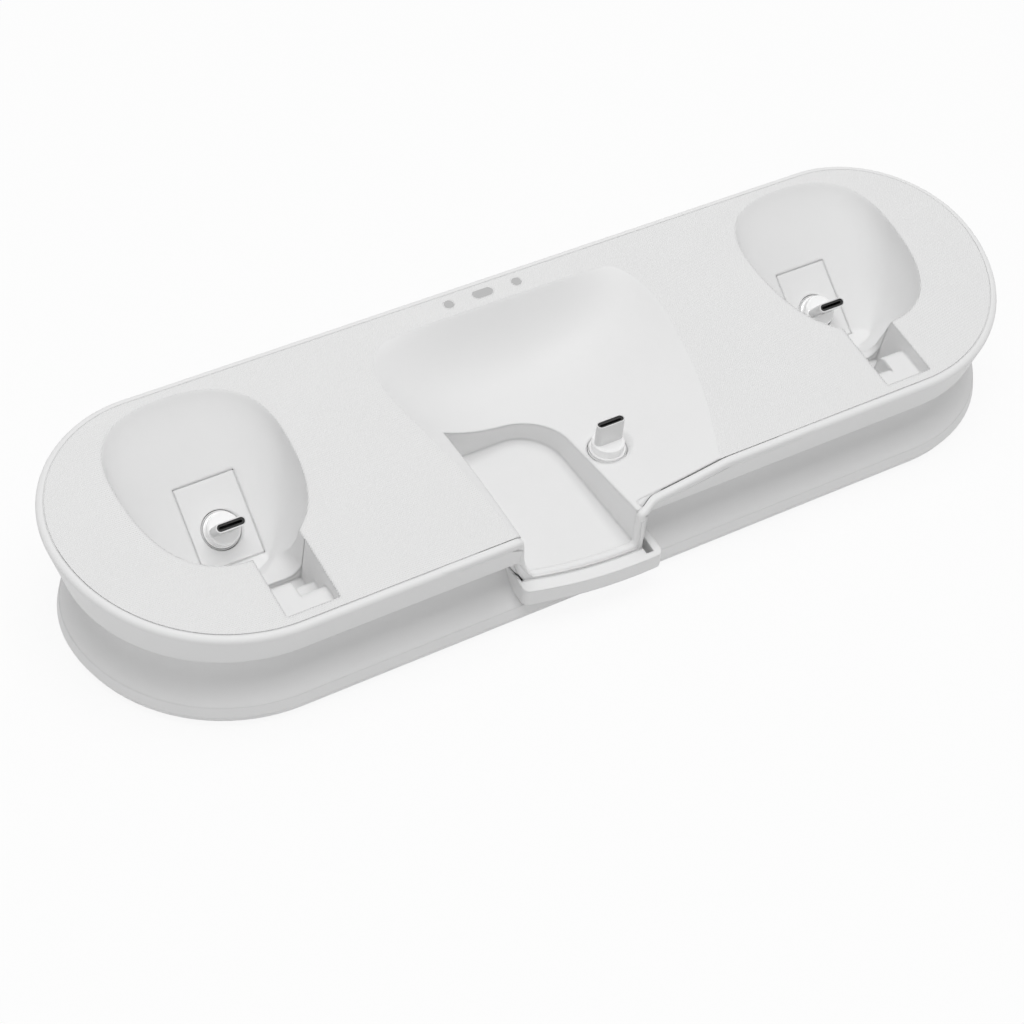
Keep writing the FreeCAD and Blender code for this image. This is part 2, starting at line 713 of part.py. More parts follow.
# rim: flared band, ledge round the cover, inner flanges
rim_outer = flared_prism("RimOuter", zero, zero, Dim(26, "26"))
rim_bore = flared_prism("RimBore", D("rim_wall") + D("flange_reach"), Dim(1, "1"), Dim(26, "26"))
rim_room = flared_prism("RimRoom", D("rim_wall"), D("flange_wall") * -1, Dim(26, "26"))
below_top = under_top("BelowTop", zero, Dim(60, "60"))
rim_block = common("RimBlock", rim_outer, below_top)


def edge_round(name, base, radius):
    """Rounds the outer edge of the sloping top."""
    shape = base.Shape
    inverse = TOP.inverse()
    rim_edges = []
    for number, edge in enumerate(shape.Edges, 1):
        depths = [abs(inverse.multVec(v.Point).z) for v in edge.Vertexes]
        if max(depths) < 1e-4:
            rim_edges.append((number, num(radius), num(radius)))
    rounded = doc.addObject("Part::Fillet", name)
    rounded.Base = base
    rounded.Edges = rim_edges
    return rounded


doc.recompute()
rim_round = edge_round("RimRound", rim_block, D("rim_round"))
chin = chin_block("Chin", 0.0)
chin_top = common("ChinTop", chin, under_top("ChinUnder", D("rim_wall") * 0, Dim(60, "60")))
rim_full = fuse("RimFull", rim_round, chin_top)

ledge = D("cover_wall")
shelf_low = D("cover_wall") + D("flange_wall")
cover_seat = common("CoverSeat", rim_room, under_top("SeatSlab", Dim(-6, "(0 - 6)"), ledge))
rim_hollow = common("RimHollow", rim_room, under_top("RoomSlab", shelf_low, Dim(60, "60")))

WALL = V("scoop_wall")
CLEAR = WALL + V("seam_gap")
scoop_clear = [feature("ScoopClear" + n, scoop(s, CLEAR)) for n, s in (("L", -1), ("R", 1))]
slot_clear = [feature("SlotClear" + n, slot_form(s, CLEAR)) for n, s in (("L", -1), ("R", 1))]
channel_clear = [feature("ChannelClear" + n, channel(s, CLEAR)) for n, s in (("L", -1), ("R", 1))]
seat_clear = feature("SeatClear", seat(CLEAR))
trough_open = feature("TroughOpen", trough(0.0))


def cover_front(name, grow):
    """World block that ends at the cover's edge in front of the trough."""
    left = V("trough_left") - V("chin_side") - 1
    right = V("trough_right") + V("chin_side") + 1
    line = V("chin_front") + V("chin_wall") - grow
    block = front_plan(left, right, line, V("chin_skew"), V("lip_bow"), 10, 0, 60)
    return feature(name, block, on_top=False)


front_clear = cover_front("FrontClear", V("seam_gap"))
trough_clear = common("TroughClear", feature("TroughGrown", trough(CLEAR)), front_clear)
node(cut("BasePedestal", base, trough_clear), "base_pedestal")
light_notch = make("Part::Box", "LightNotch", Length=40, Width=D("light_y") - 30.2, Height=6)
light_notch.Placement = TOP.multiply(Placement(Vector(V("light_x") - 20, 31, -8), Rotation()))
dish_clear = fuse("DishClear", *scoop_clear, *slot_clear, *channel_clear, seat_clear)
rim_voids = fuse("RimVoids", rim_bore, cover_seat, rim_hollow, dish_clear, trough_clear,
                 trough_open, light_notch)
rim = cut("RimHousing", rim_full, rim_voids)
node(rim, "rim_housing")

# cover: plate, moulded scoops, seat, trough and posts in one piece
cover_env = flared_prism("CoverEnvelope", D("rim_wall") + gap, Dim(12, "12"), Dim(26, "26"))
plate = common("CoverPlate", cover_env, under_top("PlateSlab", zero, ledge))
scoop_shells = [feature("ScoopShell" + n, scoop(s, WALL)) for n, s in (("L", -1), ("R", 1))]
slot_shells = [feature("SlotShell" + n, slot_form(s, WALL)) for n, s in (("L", -1), ("R", 1))]
channel_shells = [feature("ChannelShell" + n, channel(s, WALL)) for n, s in (("L", -1), ("R", 1))]
seat_shell = feature("SeatShell", seat(WALL))
post_low = D("plate_bottom") + D("plate_wall")
posts = []
POSTS = [(-58, 19.5), (58, 19.5), (-58, -19.5), (58, -19.5), (-118, 2), (118, 2)]
for i, (x, y) in enumerate(POSTS):
    posts.append(cylinder("Post%d" % i, D("post_radius"), D("top_height") - post_low, x=x, y=y, z=post_low))
cover_lump = fuse("CoverLump", *scoop_shells, *channel_shells, *slot_shells, seat_shell)
lump_in = common("LumpInside", cover_lump, cover_env,
                 under_top("LumpSlab", zero, Dim(60, "60")))
trough_shell = common("TroughShell", feature("TroughWall", trough(WALL)), cover_front("FrontEdge", 0.0),
                      under_top("TroughSlab", zero, Dim(60, "60")))
posts_in = common("PostsInside", fuse("Posts", *posts), under_top("PostSlab", D("rim_round"), Dim(60, "60")))
cover_solid = fuse("CoverSolid", plate, lump_in, posts_in, trough_shell)

# bays: frame of each tip, with its axis upwards and its origin in the mouth of the well
SLOPE = Rotation(Vector(1, 0, 0), V("top_tilt") + V("slope"))
SIDE_TIP = TOP.multVec(Vector(V("panel_x"), V("side_tip_y"), -V("side_tip_depth")))
MID_TIP = TOP.multVec(Vector(V("mid_tip_x"), V("mid_tip_y"), -V("mid_tip_depth")))
LEAN = Rotation(Vector(1, 0, 0), V("mid_tip_lean"))
BAYS = {
    "left": Placement(Vector(-SIDE_TIP.x, SIDE_TIP.y, SIDE_TIP.z), SLOPE),
    "centre": Placement(MID_TIP, LEAN),
    "right": Placement(SIDE_TIP, SLOPE),
}


def in_bay(bay, obj):
    obj.Placement = BAYS[bay].multiply(obj.Placement)
    return obj


def bay_cylinder(bay, name, radius, height, z):
    obj = make("Part::Cylinder", name, Radius=radius, Height=height)
    obj.Placement = BAYS[bay].multiply(Placement(Vector(0, 0, num(z)), Rotation()))
    return obj


def panel_prism(bay, name, grow):
    """Curved-edged panel outline, extruded along the slope's normal."""
    half = V("panel_wide") / 2 + grow
    up = V("panel_long") * 0.60 + grow
    down = V("panel_long") * 0.40 + grow
    prism = Part.makeBox(2 * half, up + down, 30, Vector(-half, -down, -14))
    return in_bay(bay, feature(name, prism, on_top=False))


# insert panels: cut from the scoop's own wall, with a sleeve under the well
inner_scoops = {"left": feature("ScoopL", scoop(-1, 0.0)), "right": feature("ScoopR", scoop(1, 0.0))}
outer_scoops = {"left": scoop_shells[0], "right": scoop_shells[1]}
seat_open = feature("SeatOpen", seat(0.0))
slot_open = [feature("SlotOpen" + n, slot_form(s, 0.0)) for n, s in (("L", -1), ("R", 1))]
channel_open = [feature("ChannelOpen" + n, channel(s, 0.0)) for n, s in (("L", -1), ("R", 1))]


def well(bay, name, deep=12.0):
    """Round well with a bevelled mouth."""
    bore = bay_cylinder(bay, name + "Bore", D("well_radius"), Dim(deep + 6, str(deep + 6)), -deep)
    mouth = make("Part::Cone", name + "Mouth", Radius1=D("well_radius"),
                 Radius2=D("well_radius") + D("well_bevel") * 9, Height=D("well_bevel") * 9)
    mouth.Placement = BAYS[bay].multiply(Placement(Vector(0, 0, -V("well_bevel")), Rotation()))
    return fuse(name, bore, mouth)


def sleeve(bay, name):
    ring = bay_cylinder(bay, name + "Ring", D("sleeve_radius"), D("sleeve_long"), -V("sleeve_long") - 0.8)
    return ring


def sleeve_bore(bay, name):
    return bay_cylinder(bay, name, D("sleeve_bore"), D("sleeve_long") + 1.2, -V("sleeve_long") - 3)


panels = {}
for bay in ("left", "right"):
    cap = bay.capitalize()
    prism = panel_prism(bay, "PanelPrism" + cap, 0.0)
    skin = cut("PanelSkin" + cap, outer_scoops[bay], inner_scoops[bay])
    sheet_part = common("PanelSheet" + cap, skin, prism)
    body = fuse("PanelBody" + cap, sheet_part, common("SleeveIn" + cap, sleeve(bay, "Sleeve" + cap), prism))
    voids = fuse("PanelVoid" + cap, well(bay, "Well" + cap, 9.0), sleeve_bore(bay, "Bore" + cap), inner_scoops[bay])
    panels[bay] = cut("InsertPanel" + cap, body, voids)
    node(panels[bay], bay + "_insert_panel")

panel_cuts = [panel_prism(bay, "PanelCut" + bay.capitalize(), V("panel_gap")) for bay in ("left", "right")]
sleeve_cuts = [
    bay_cylinder(bay, "SleeveCut" + bay.capitalize(), D("sleeve_radius") + 0.3, Dim(22, "22"), -20)
    for bay in ("left", "right")
]
centre_sleeve = sleeve("centre", "SleeveCentre")
centre_well = well("centre", "WellCentre", 9.0)
centre_bore = sleeve_bore("centre", "BoreCentre")

# status windows
windows = []
half_window = D("light_radius")
for i in (-1, 0, 1):
    x = V("light_x") + i * V("light_pitch")
    if i:
        pin = make("Part::Cylinder", "Window%d" % (i + 1), Radius=half_window, Height=ledge)
        pin.Placement = TOP.multiply(Placement(Vector(x, V("light_y"), -V("cover_wall")), Rotation()))
        windows.append(pin)
oval_x = V("light_long") / 2 - V("light_radius")
oval_ends = []
for k in (-1, 1):
    pin = make("Part::Cylinder", "OvalEnd%d" % (k + 1), Radius=half_window, Height=ledge)
    x = V("light_x") + k * oval_x
    pin.Placement = TOP.multiply(Placement(Vector(x, V("light_y"), -V("cover_wall")), Rotation()))
    oval_ends.append(pin)
bar = make("Part::Box", "OvalBar", Length=D("light_long") - D("light_radius") * 2,
           Width=D("light_radius") * 2, Height=ledge)
bar.Placement = TOP.multiply(
    Placement(Vector(V("light_x") - oval_x, V("light_y") - V("light_radius"), -V("cover_wall")), Rotation()))
oval_window = fuse("OvalWindow", *oval_ends, bar)
round_windows = doc.addObject("Part::Compound", "RoundWindows")
round_windows.Links = windows

cover = cover_solid
for i, tool in enumerate((inner_scoops["left"], inner_scoops["right"], seat_open, trough_open, *channel_open, *slot_open,
                          *panel_cuts, *sleeve_cuts)):
    cover = cut("CoverCut%d" % i, cover, tool)
cover = fuse("CoverSleeved", cover, cut("SleeveTrimmed", centre_sleeve, fuse("SleeveTrim", trough_open, seat_open)))
for i, tool in enumerate((centre_bore, centre_well, *windows, oval_window)):
    cover = cut("CoverHole%d" % i, cover, tool)
node(cover, "top_cover")
node(round_windows, "round_status_windows")
node(oval_window, "oval_status_window")

# ---------------------------------------------------------------- tips and sockets


def turned(bay, name, profile):
    """A turned piece: a half profile of radius and height, revolved about the bay's axis."""
    body = doc.addObject("PartDesign::Body", name)
    sketch = new_sketch(body, "XZ_Plane", name + "Profile")
    polygon(sketch, profile)
    turn = body.newObject("PartDesign::Revolution", name + "Turn")
    turn.Profile = sketch
    turn.ReferenceAxis = (sketch, ["V_Axis"])
    turn.Angle = 360
    body.Placement = BAYS[bay]
    return body


def shell_form(bay, name, inset, low, high):
    """USB-C outline: a bar with round ends, between two heights over the disc."""
    radius = D("shell_thick") * 0.5 - inset
    reach = D("shell_wide") * 0.5 - D("shell_thick") * 0.5
    z = V("disc_top") + num(low)
    parts = []
    for k in (-1, 1):
        end = make("Part::Cylinder", "%sEnd%d" % (name, k + 1), Radius=radius, Height=high - low)
        end.Placement = BAYS[bay].multiply(Placement(Vector(k * num(reach), 0, z), Rotation()))
        parts.append(end)
    bar = make("Part::Box", name + "Bar", Length=reach * 2, Width=radius * 2, Height=high - low)
    bar.Placement = BAYS[bay].multiply(Placement(Vector(-num(reach), -num(radius), z), Rotation()))
    parts.append(bar)
    return fuse(name, *parts)


seat_z = D("socket_top")
neck = D("socket_radius") - 0.5
ring_mid = seat_z - 3.4
half_ring = D("grommet_thick") * 0.5
play = 0.35
for bay in BAYS:
    cap = bay.capitalize()
    flange_top = seat_z + D("flange_thick")
    disc = turned(bay, "TipDisc" + cap, [
        (zero, seat_z + 0.05),
        (D("flange_radius"), seat_z + 0.05),
        (D("flange_radius"), flange_top),
        (D("disc_radius"), flange_top),
        (D("disc_radius"), D("disc_top") - 0.4),
        (D("disc_radius") - 0.4, D("disc_top")),
        (zero, D("disc_top")),
    ])
    node(disc, bay + "_tip_disc")
    outside = shell_form(bay, "ShellOut" + cap, 0, zero, D("shell_long"))
    inside = shell_form(bay, "ShellIn" + cap, D("shell_wall"), Dim(-1, "(0 - 1)"), D("shell_long") + 1)
    node(cut("PlugShell" + cap, outside, inside), bay + "_plug_shell")
    liner = shell_form(bay, "LinerOut" + cap, D("shell_wall") + 0.02, zero, D("shell_long") - 0.35)
    mouth = shell_form(bay, "LinerIn" + cap, D("shell_wall") + 0.62, Dim(1.2, "1.2"), D("shell_long") + 1)
    node(cut("PlugLiner" + cap, liner, mouth), bay + "_plug_liner")

    bottom = seat_z - D("socket_long")
    body = turned(bay, "SocketTurned" + cap, [
        (zero, bottom),
        (D("socket_radius"), bottom),
        (D("socket_radius"), ring_mid - half_ring - play),
        (neck, ring_mid - half_ring - play),
        (neck, ring_mid + half_ring + play),
        (D("socket_radius"), ring_mid + half_ring + play),
        (D("socket_radius"), seat_z - 0.4),
        (D("socket_radius") - 0.4, seat_z),
        (zero, seat_z),
    ])
    magnet_pocket = turned(bay, "MagnetPocket" + cap, [
        (D("socket_radius") * 0.62, seat_z - 0.6),
        (D("socket_radius") * 0.84, seat_z - 0.6),
        (D("socket_radius") * 0.84, seat_z - 2.0),
        (D("socket_radius") * 0.62, seat_z - 2.0),
    ])
    magnet = turned(bay, "MagnetRing" + cap, [
        (D("socket_radius") * 0.62 + 0.03, seat_z - 0.63),
        (D("socket_radius") * 0.84 - 0.03, seat_z - 0.63),
        (D("socket_radius") * 0.84 - 0.03, seat_z - 1.97),
        (D("socket_radius") * 0.62 + 0.03, seat_z - 1.97),
    ])
    node(magnet, bay + "_socket_magnet")
    pins = []
    holes = []
    for k in range(5):
        x = (k - 2) * 1.1
        pin = make("Part::Cylinder", "Pin%s%d" % (cap, k), Radius=0.35, Height=D("socket_long") + 1.15)
        low = V("socket_top") - V("socket_long") - 1.2
        pin.Placement = BAYS[bay].multiply(Placement(Vector(x, 0, low), Rotation()))
        pins.append(pin)
        hole = make("Part::Cylinder", "PinHole%s%d" % (cap, k), Radius=0.4, Height=D("socket_long") + 2)
        hole.Placement = BAYS[bay].multiply(Placement(Vector(x, 0, low + 0.2), Rotation()))
        holes.append(hole)
    pin_set = doc.addObject("Part::Compound", "PogoPins" + cap)
    pin_set.Links = pins
    node(pin_set, bay + "_pogo_pins")
    socket = cut("Socket" + cap, body, fuse("SocketVoid" + cap, magnet_pocket, *holes))
    node(socket, bay + "_socket_body")
    grommet = turned(bay, "Grommet" + cap, [
        (neck + 0.3, ring_mid - half_ring),
        (D("sleeve_bore"), ring_mid - half_ring),
        (D("sleeve_bore"), ring_mid + half_ring),
        (neck + 0.3, ring_mid + half_ring),
    ])
    node(grommet, bay + "_socket_grommet")

# ---------------------------------------------------------------- bottom, feet, board

plate_sketch_body = doc.addObject("PartDesign::Body", "BottomPlate")
outline = new_sketch(plate_sketch_body, "XY_Plane", "PlateOutline", D("plate_bottom"))
foot_track(outline, D("base_wall") + 1.5 + 0.3)
pad = plate_sketch_body.newObject("PartDesign::Pad", "PlatePad")
pad.Profile = outline
pad.setExpression("Length", "Sizes.plate_wall")
shanks = []
screws = []
low = D("plate_bottom")
for i, (x, y) in enumerate(POSTS):
    head = cylinder("ScrewHead%d" % i, D("screw_head"), Dim(1.2, "1.2"), x=x, y=y, z=low)
    shank = cylinder("ScrewShank%d" % i, D("screw_radius"), Dim(9, "9"), x=x, y=y, z=low)
    screws.append(fuse("Screw%d" % i, head, shank))
    head_hole = cylinder("HeadHole%d" % i, D("screw_head") + 0.1, Dim(1.2, "1.2"), x=x, y=y, z=low)
    shank_hole = cylinder("ShankHole%d" % i, D("screw_radius") + 0.05, Dim(9.2, "9.2"), x=x, y=y, z=low)
    shanks.append(fuse("ScrewHole%d" % i, head_hole, shank_hole))
screw_holes = fuse("ScrewHoles", *shanks)
node(cut("BottomPlateDrilled", plate_sketch_body, screw_holes), "bottom_plate")
screw_set = doc.addObject("Part::Compound", "BaseScrews")
screw_set.Links = screws
node(screw_set, "base_screws")
feet = []
for i, (x, y) in enumerate([(-105, 22), (105, 22), (-105, -23), (105, -23), (0, 0)]):
    feet.append(cylinder("Foot%d" % i, D("pad_radius"), D("plate_bottom"), x=x, y=y, z=zero))
feet_set = doc.addObject("Part::Compound", "RubberFeet")
feet_set.Links = feet
node(feet_set, "rubber_feet")

cover = cut("CoverDrilled", NODES["top_cover"], screw_holes)
NODES["top_cover"].Label = "CoverUndrilled"
node(cover, "top_cover")

board_x0 = D("board_wide") * -0.5
board_y0 = D("board_back") - D("board_deep")
board = box("Board", board_x0, D("board_wide") * 0.5, board_y0, D("board_back"), D("board_z"), inlet_z)
stands = []
board_pins = []
for i, (fx, fy) in enumerate([(-0.45, 0.12), (0.45, 0.12), (-0.45, 0.9), (0.45, 0.9)]):
    x = D("board_wide") * fx
    y = board_y0 + D("board_deep") * fy
    stand = cylinder("Stand%d" % i, Dim(2.4, "2.4"), D("board_z") - post_low, x=x, y=y, z=post_low)
    stands.append(stand)
    head = cylinder("BoardHead%d" % i, Dim(1.9, "1.9"), Dim(0.9, "0.9"), x=x, y=y, z=inlet_z)
    shank = cylinder("BoardShank%d" % i, Dim(0.95, "0.95"), Dim(4, "4"), x=x, y=y, z=inlet_z - 4)
    board_pins.append((fuse("BoardScrew%d" % i, head, shank), shank, x, y))
holes = [cylinder("BoardHole%d" % i, Dim(1.0, "1.0"), Dim(4.2, "4.2"), x=x, y=y, z=inlet_z - 4.1)
         for i, (_, _, x, y) in enumerate(board_pins)]
board_holes = fuse("BoardHoles", *holes)
chips = []
for i, (x, y, w, d, t) in enumerate([(-22, 12, 12, 12, 1.2), (6, 16, 9, 9, 1.0), (24, 8, 7, 10, 2.0),
                                     (-36, 2, 6, 8, 1.6)]):
    chips.append(box("Chip%d" % i, Dim(x, repr(x * 1.0)), Dim(x + w, repr(x + w * 1.0)),
                     Dim(y, repr(y * 1.0)), Dim(y + d, repr(y + d * 1.0)), inlet_z, inlet_z + t))
node(cut("MainBoard", board, board_holes), "main_board")
chip_set = doc.addObject("Part::Compound", "Chips")
chip_set.Links = chips
node(chip_set, "board_chips")
board_screw_set = doc.addObject("Part::Compound", "BoardScrews")
board_screw_set.Links = [item[0] for item in board_pins]
node(board_screw_set, "board_screws")
NODES["bottom_plate"].Label = "PlateDrilled"
plate_full = cut("PlateWithStands", fuse("PlateStands", NODES["bottom_plate"], *stands), board_holes)
node(plate_full, "bottom_plate")

# power inlet: shell with round ends, open to the back, with a tongue inside
inlet_y0 = D("board_back") - 6.6


def inlet_bar(name, inset, y0, length):
    radius = D("inlet_high") * 0.5 - inset
    reach = D("inlet_wide") * 0.5 - D("inlet_high") * 0.5
    z = V("board_z") + V("board_wall") + V("inlet_high") / 2
    turn = Rotation(Vector(1, 0, 0), -90)
    parts = []
    for k in (-1, 1):
        end = make("Part::Cylinder", "%sEnd%d" % (name, k + 1), Radius=radius, Height=length)
        end.Placement = Placement(Vector(k * num(reach), num(y0), z), turn)
        parts.append(end)
    bar = make("Part::Box", name + "Bar", Length=reach * 2, Width=length, Height=radius * 2)
    bar.Placement = Placement(Vector(-num(reach), num(y0), z - num(radius)), Rotation())
    parts.append(bar)
    return fuse(name, *parts)


inlet_out = inlet_bar("InletOut", 0, inlet_y0, D("inlet_long"))
inlet_in = inlet_bar("InletIn", Dim(0.3, "0.3"), inlet_y0 + 1.0, D("inlet_long"))
inlet_shell = cut("InletShell", inlet_out, inlet_in)
mid_z = inlet_z + D("inlet_high") * 0.5
tongue = box("InletTongue", Dim(-3.3, "(0 - 3.3)"), Dim(3.3, "3.3"), inlet_y0 + 1.0, inlet_y0 + 5.6,
             mid_z - 0.35, mid_z + 0.35)
node(inlet_shell, "usb_inlet_shell")
node(tongue, "usb_inlet_tongue")

# light board under the status windows, hung from two bosses of the cover
strip_top = D("cover_wall") + 1.5
light_board = make("Part::Box", "LightBoard", Length=32, Width=3.0, Height=0.9)
light_board.Placement = TOP.multiply(
    Placement(Vector(V("light_x") - 16, V("light_y") - 2.7, -num(strip_top) - 0.9), Rotation()))
node(light_board, "light_board")
leds = []
for i in (-1, 0, 1):
    led = make("Part::Box", "Led%d" % (i + 1), Length=1.8, Width=1.6, Height=1.2)
    x = V("light_x") + i * V("light_pitch") - 0.9
    led.Placement = TOP.multiply(Placement(Vector(x, V("light_y") - 1.4, -num(strip_top)), Rotation()))
    leds.append(led)
led_set = doc.addObject("Part::Compound", "LedChips")
led_set.Links = leds
node(led_set, "led_chips")
bosses = []
for k in (-1, 1):
    boss = make("Part::Cylinder", "LightBoss%d" % (k + 1), Radius=1.5, Height=strip_top - D("cover_wall") + 0.5)
    x = V("light_x") + k * 14.2
    boss.Placement = TOP.multiply(Placement(Vector(x, V("light_y") - 1.2, -num(strip_top)), Rotation()))
    bosses.append(boss)
NODES["top_cover"].Label = "CoverWithoutBosses"
node(fuse("CoverBossed", NODES["top_cover"], *bosses), "top_cover")

# ---------------------------------------------------------------- check and write

doc.recompute()
for obj in doc.Objects:
    if "Invalid" in obj.State or "Error" in obj.State:
        raise SystemExit("feature failed: %s %s" % (obj.Name, obj.State))
os.makedirs("parts", exist_ok=True)
for label, obj in NODES.items():
    shape = obj.Shape
    if shape.isNull() or not shape.isValid():
        raise SystemExit("bad shape: " + label)
for label, obj in NODES.items():
    obj.Shape.exportStep("parts/%s.step" % label)
    box_now = obj.Shape.BoundBox
    print("%-26s solids %d volume %9.1f z %6.1f..%6.1f" % (
        label, len(obj.Shape.Solids), obj.Shape.Volume, box_now.ZMin, box_now.ZMax))
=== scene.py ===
# %% [markdown]
# # A charging dock for a headset and two hand controllers
# The packed model gives every piece its place and size.  This notebook adds the
# finishes, one finely rounded edge, shallow seams, a studio and a camera.

# %% Load the fixed frame
import math

import bmesh
import bpy
import json
import numpy as np
from mathutils import Matrix, Vector
from mathutils.bvhtree import BVHTree


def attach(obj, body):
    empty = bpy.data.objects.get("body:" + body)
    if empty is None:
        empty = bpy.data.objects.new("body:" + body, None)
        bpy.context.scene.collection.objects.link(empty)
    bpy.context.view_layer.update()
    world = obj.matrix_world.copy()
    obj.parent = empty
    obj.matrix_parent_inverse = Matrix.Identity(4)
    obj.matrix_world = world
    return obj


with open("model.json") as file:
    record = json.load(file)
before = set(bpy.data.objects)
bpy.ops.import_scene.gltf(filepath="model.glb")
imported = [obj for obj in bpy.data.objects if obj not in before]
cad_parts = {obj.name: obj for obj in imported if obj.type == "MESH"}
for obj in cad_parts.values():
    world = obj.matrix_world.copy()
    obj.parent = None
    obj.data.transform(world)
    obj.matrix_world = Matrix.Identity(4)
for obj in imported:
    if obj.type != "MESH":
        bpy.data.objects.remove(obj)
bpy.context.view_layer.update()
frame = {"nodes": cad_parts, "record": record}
nodes = frame["nodes"]
scene = bpy.context.scene

# %% [markdown]
# ## Sizes that finishes and new pieces share
# The top is a plane that slopes down to the front.  The rim's wall stands on a racetrack
# outline: each end has a smaller arc at the back and a larger one at the front, and the
# wall leans outwards as it rises.  The wall's top is a narrow ledge, and a thin seam parts
# it from the cover.  All lengths are in metres.

# %% Shared sizes
TILT = math.radians(7.4)
TOP_HEIGHT = 0.037
RIM_LOW = 0.0215
RIM_LEAN = 0.27
LEDGE = 0.0023
SEAM = 0.0003
HALF_LENGTH = 0.1378
BACK_ARC = 0.0318
FRONT_ARC = 0.0429
SHIFT = 0.005
RIM_FRONT = SHIFT - FRONT_ARC
print("front of the rim's lower edge:", round(RIM_FRONT * 1000, 1), "mm")

# %% [markdown]
# ## Shader maths
# A finish is easier to read when it is written as arithmetic.  Wrap stands for the
# output of a node, and +, -, * on it add the matching Math node.  The other choice is to
# add and link every node by hand, which hides the formula.


# %% Expressions on sockets
class Wrap:
    """A socket, with arithmetic that adds Math nodes behind it."""

    def __init__(self, maker, socket):
        self.maker = maker
        self.socket = socket

    def _math(self, operation, a, b=0.0):
        return self.maker.node("ShaderNodeMath", {"operation": operation}, {0: a, 1: b})

    def __add__(self, other):
        return self._math("ADD", self, other)

    def __radd__(self, other):
        return self._math("ADD", other, self)

    def __sub__(self, other):
        return self._math("SUBTRACT", self, other)

    def __rsub__(self, other):
        return self._math("SUBTRACT", other, self)

    def __mul__(self, other):
        return self._math("MULTIPLY", self, other)

    def __rmul__(self, other):
        return self._math("MULTIPLY", other, self)

    def sin(self):
        return self._math("SINE", self)

    def abs(self):
        return self._math("ABSOLUTE", self)

    def sqrt(self):
        return self._math("SQRT", self)

    def larger(self, other):
        return self._math("MAXIMUM", self, other)

    def greater(self, other):
        return self._math("GREATER_THAN", self, other)

    def clamp(self):
        return self.maker.node("ShaderNodeClamp", {}, {"Value": self}, "Result")

    def ramp(self, low, high, out_low=0.0, out_high=1.0):
        """Straight line from out_low to out_high while the value goes from low to high."""
        values = {"Value": self, "From Min": low, "From Max": high,
                  "To Min": out_low, "To Max": out_high}
        return self.maker.node("ShaderNodeMapRange", {"clamp": True}, values, "Result")


print("operators:", [name for name in vars(Wrap) if not name.startswith("__init")])

# %% [markdown]
# ## Node trees and finishes
# A material and the world both hold a tree of nodes.  One method adds a node: it takes
# the node's type, its settings and the values or links of its sockets.  A finish is such
# a tree with a Principled shader, whose steady numbers go on the shader's own sockets.


# %% Trees
class Tree:
    """A node tree and the one method that adds nodes to it."""

    def __init__(self, tree):
        self.tree = tree

    def node(self, kind, settings, values, output=0):
        new = self.tree.nodes.new(kind)
        for key, value in settings.items():
            setattr(new, key, value)
        for key, value in values.items():
            self.feed(new.inputs[key], value)
        return Wrap(self, new.outputs[output])

    def feed(self, socket, value):
        if isinstance(value, Wrap):
            self.tree.links.new(value.socket, socket)
        else:
            socket.default_value = value


print("what a tree can do:", [name for name in vars(Tree) if not name.startswith("_")])


# %% Finishes
class Finish(Tree):
    """A material with a Principled shader."""

    def __init__(self, name, roughness=0.5, metallic=0.0, colour=(0.8, 0.8, 0.8), **fixed):
        self.material = bpy.data.materials.new(name)
        self.material.use_nodes = True
        super().__init__(self.material.node_tree)
        self.shader = self.tree.nodes["Principled BSDF"]
        self.set("Base Color", (*colour, 1.0))
        self.set("Roughness", roughness)
        self.set("Metallic", metallic)
        for socket, value in fixed.items():
            self.set(socket.replace("_", " "), value)

    def set(self, socket, value):
        self.feed(self.shader.inputs[socket], value)

    def place(self):
        return self.node("ShaderNodeTexCoord", {}, {}, "Object")

    def xyz(self):
        point = self.place()
        return [self.node("ShaderNodeSeparateXYZ", {}, {0: point}, axis) for axis in "XYZ"]

    def noise(self, scale, detail):
        values = {"Scale": scale, "Detail": detail, "Vector": self.place()}
        return self.node("ShaderNodeTexNoise", {}, values, 0)

    def mottled(self, base, spread, scale=60.0):
        """Base grey with a slow, faint variation of plus or minus spread."""
        shade = self.noise(scale, 1.0).ramp(0.3, 0.7, base - spread, base + spread)
        grey = self.node("ShaderNodeCombineColor", {}, {0: shade, 1: shade, 2: shade})
        self.set("Base Color", grey)

    def bump(self, height, distance, strength, soft, crisp=None):
        """Raises the surface by height times distance.  Edges are eased by the radius
        soft, except where crisp is 1."""
        normal = self.node("ShaderNodeBevel", {"samples": 8}, {"Radius": soft}, "Normal")
        if crisp:
            plain = self.node("ShaderNodeNewGeometry", {}, {}, "Normal")
            sockets = {0: crisp, 4: normal, 5: plain}
            normal = self.node("ShaderNodeMix", {"data_type": "VECTOR"}, sockets, 1)
        values = {"Height": height, "Distance": distance, "Strength": strength, "Normal": normal}
        self.set("Normal", self.node("ShaderNodeBump", {}, values, "Normal"))


print("what a finish can do:", [name for name in vars(Finish) if not name.startswith("_")])

# %% [markdown]
# ## White moulded plastic
# The housing is moulded in a spark-eroded mould, which leaves a very fine, even grain.
# A noise a fraction of a millimetre across gives it.  The Bevel node eases the normals
# near edges, as a moulded edge is never quite sharp; a Bevel modifier would need clean
# topology, which a mesh of loose triangles doesn't have.

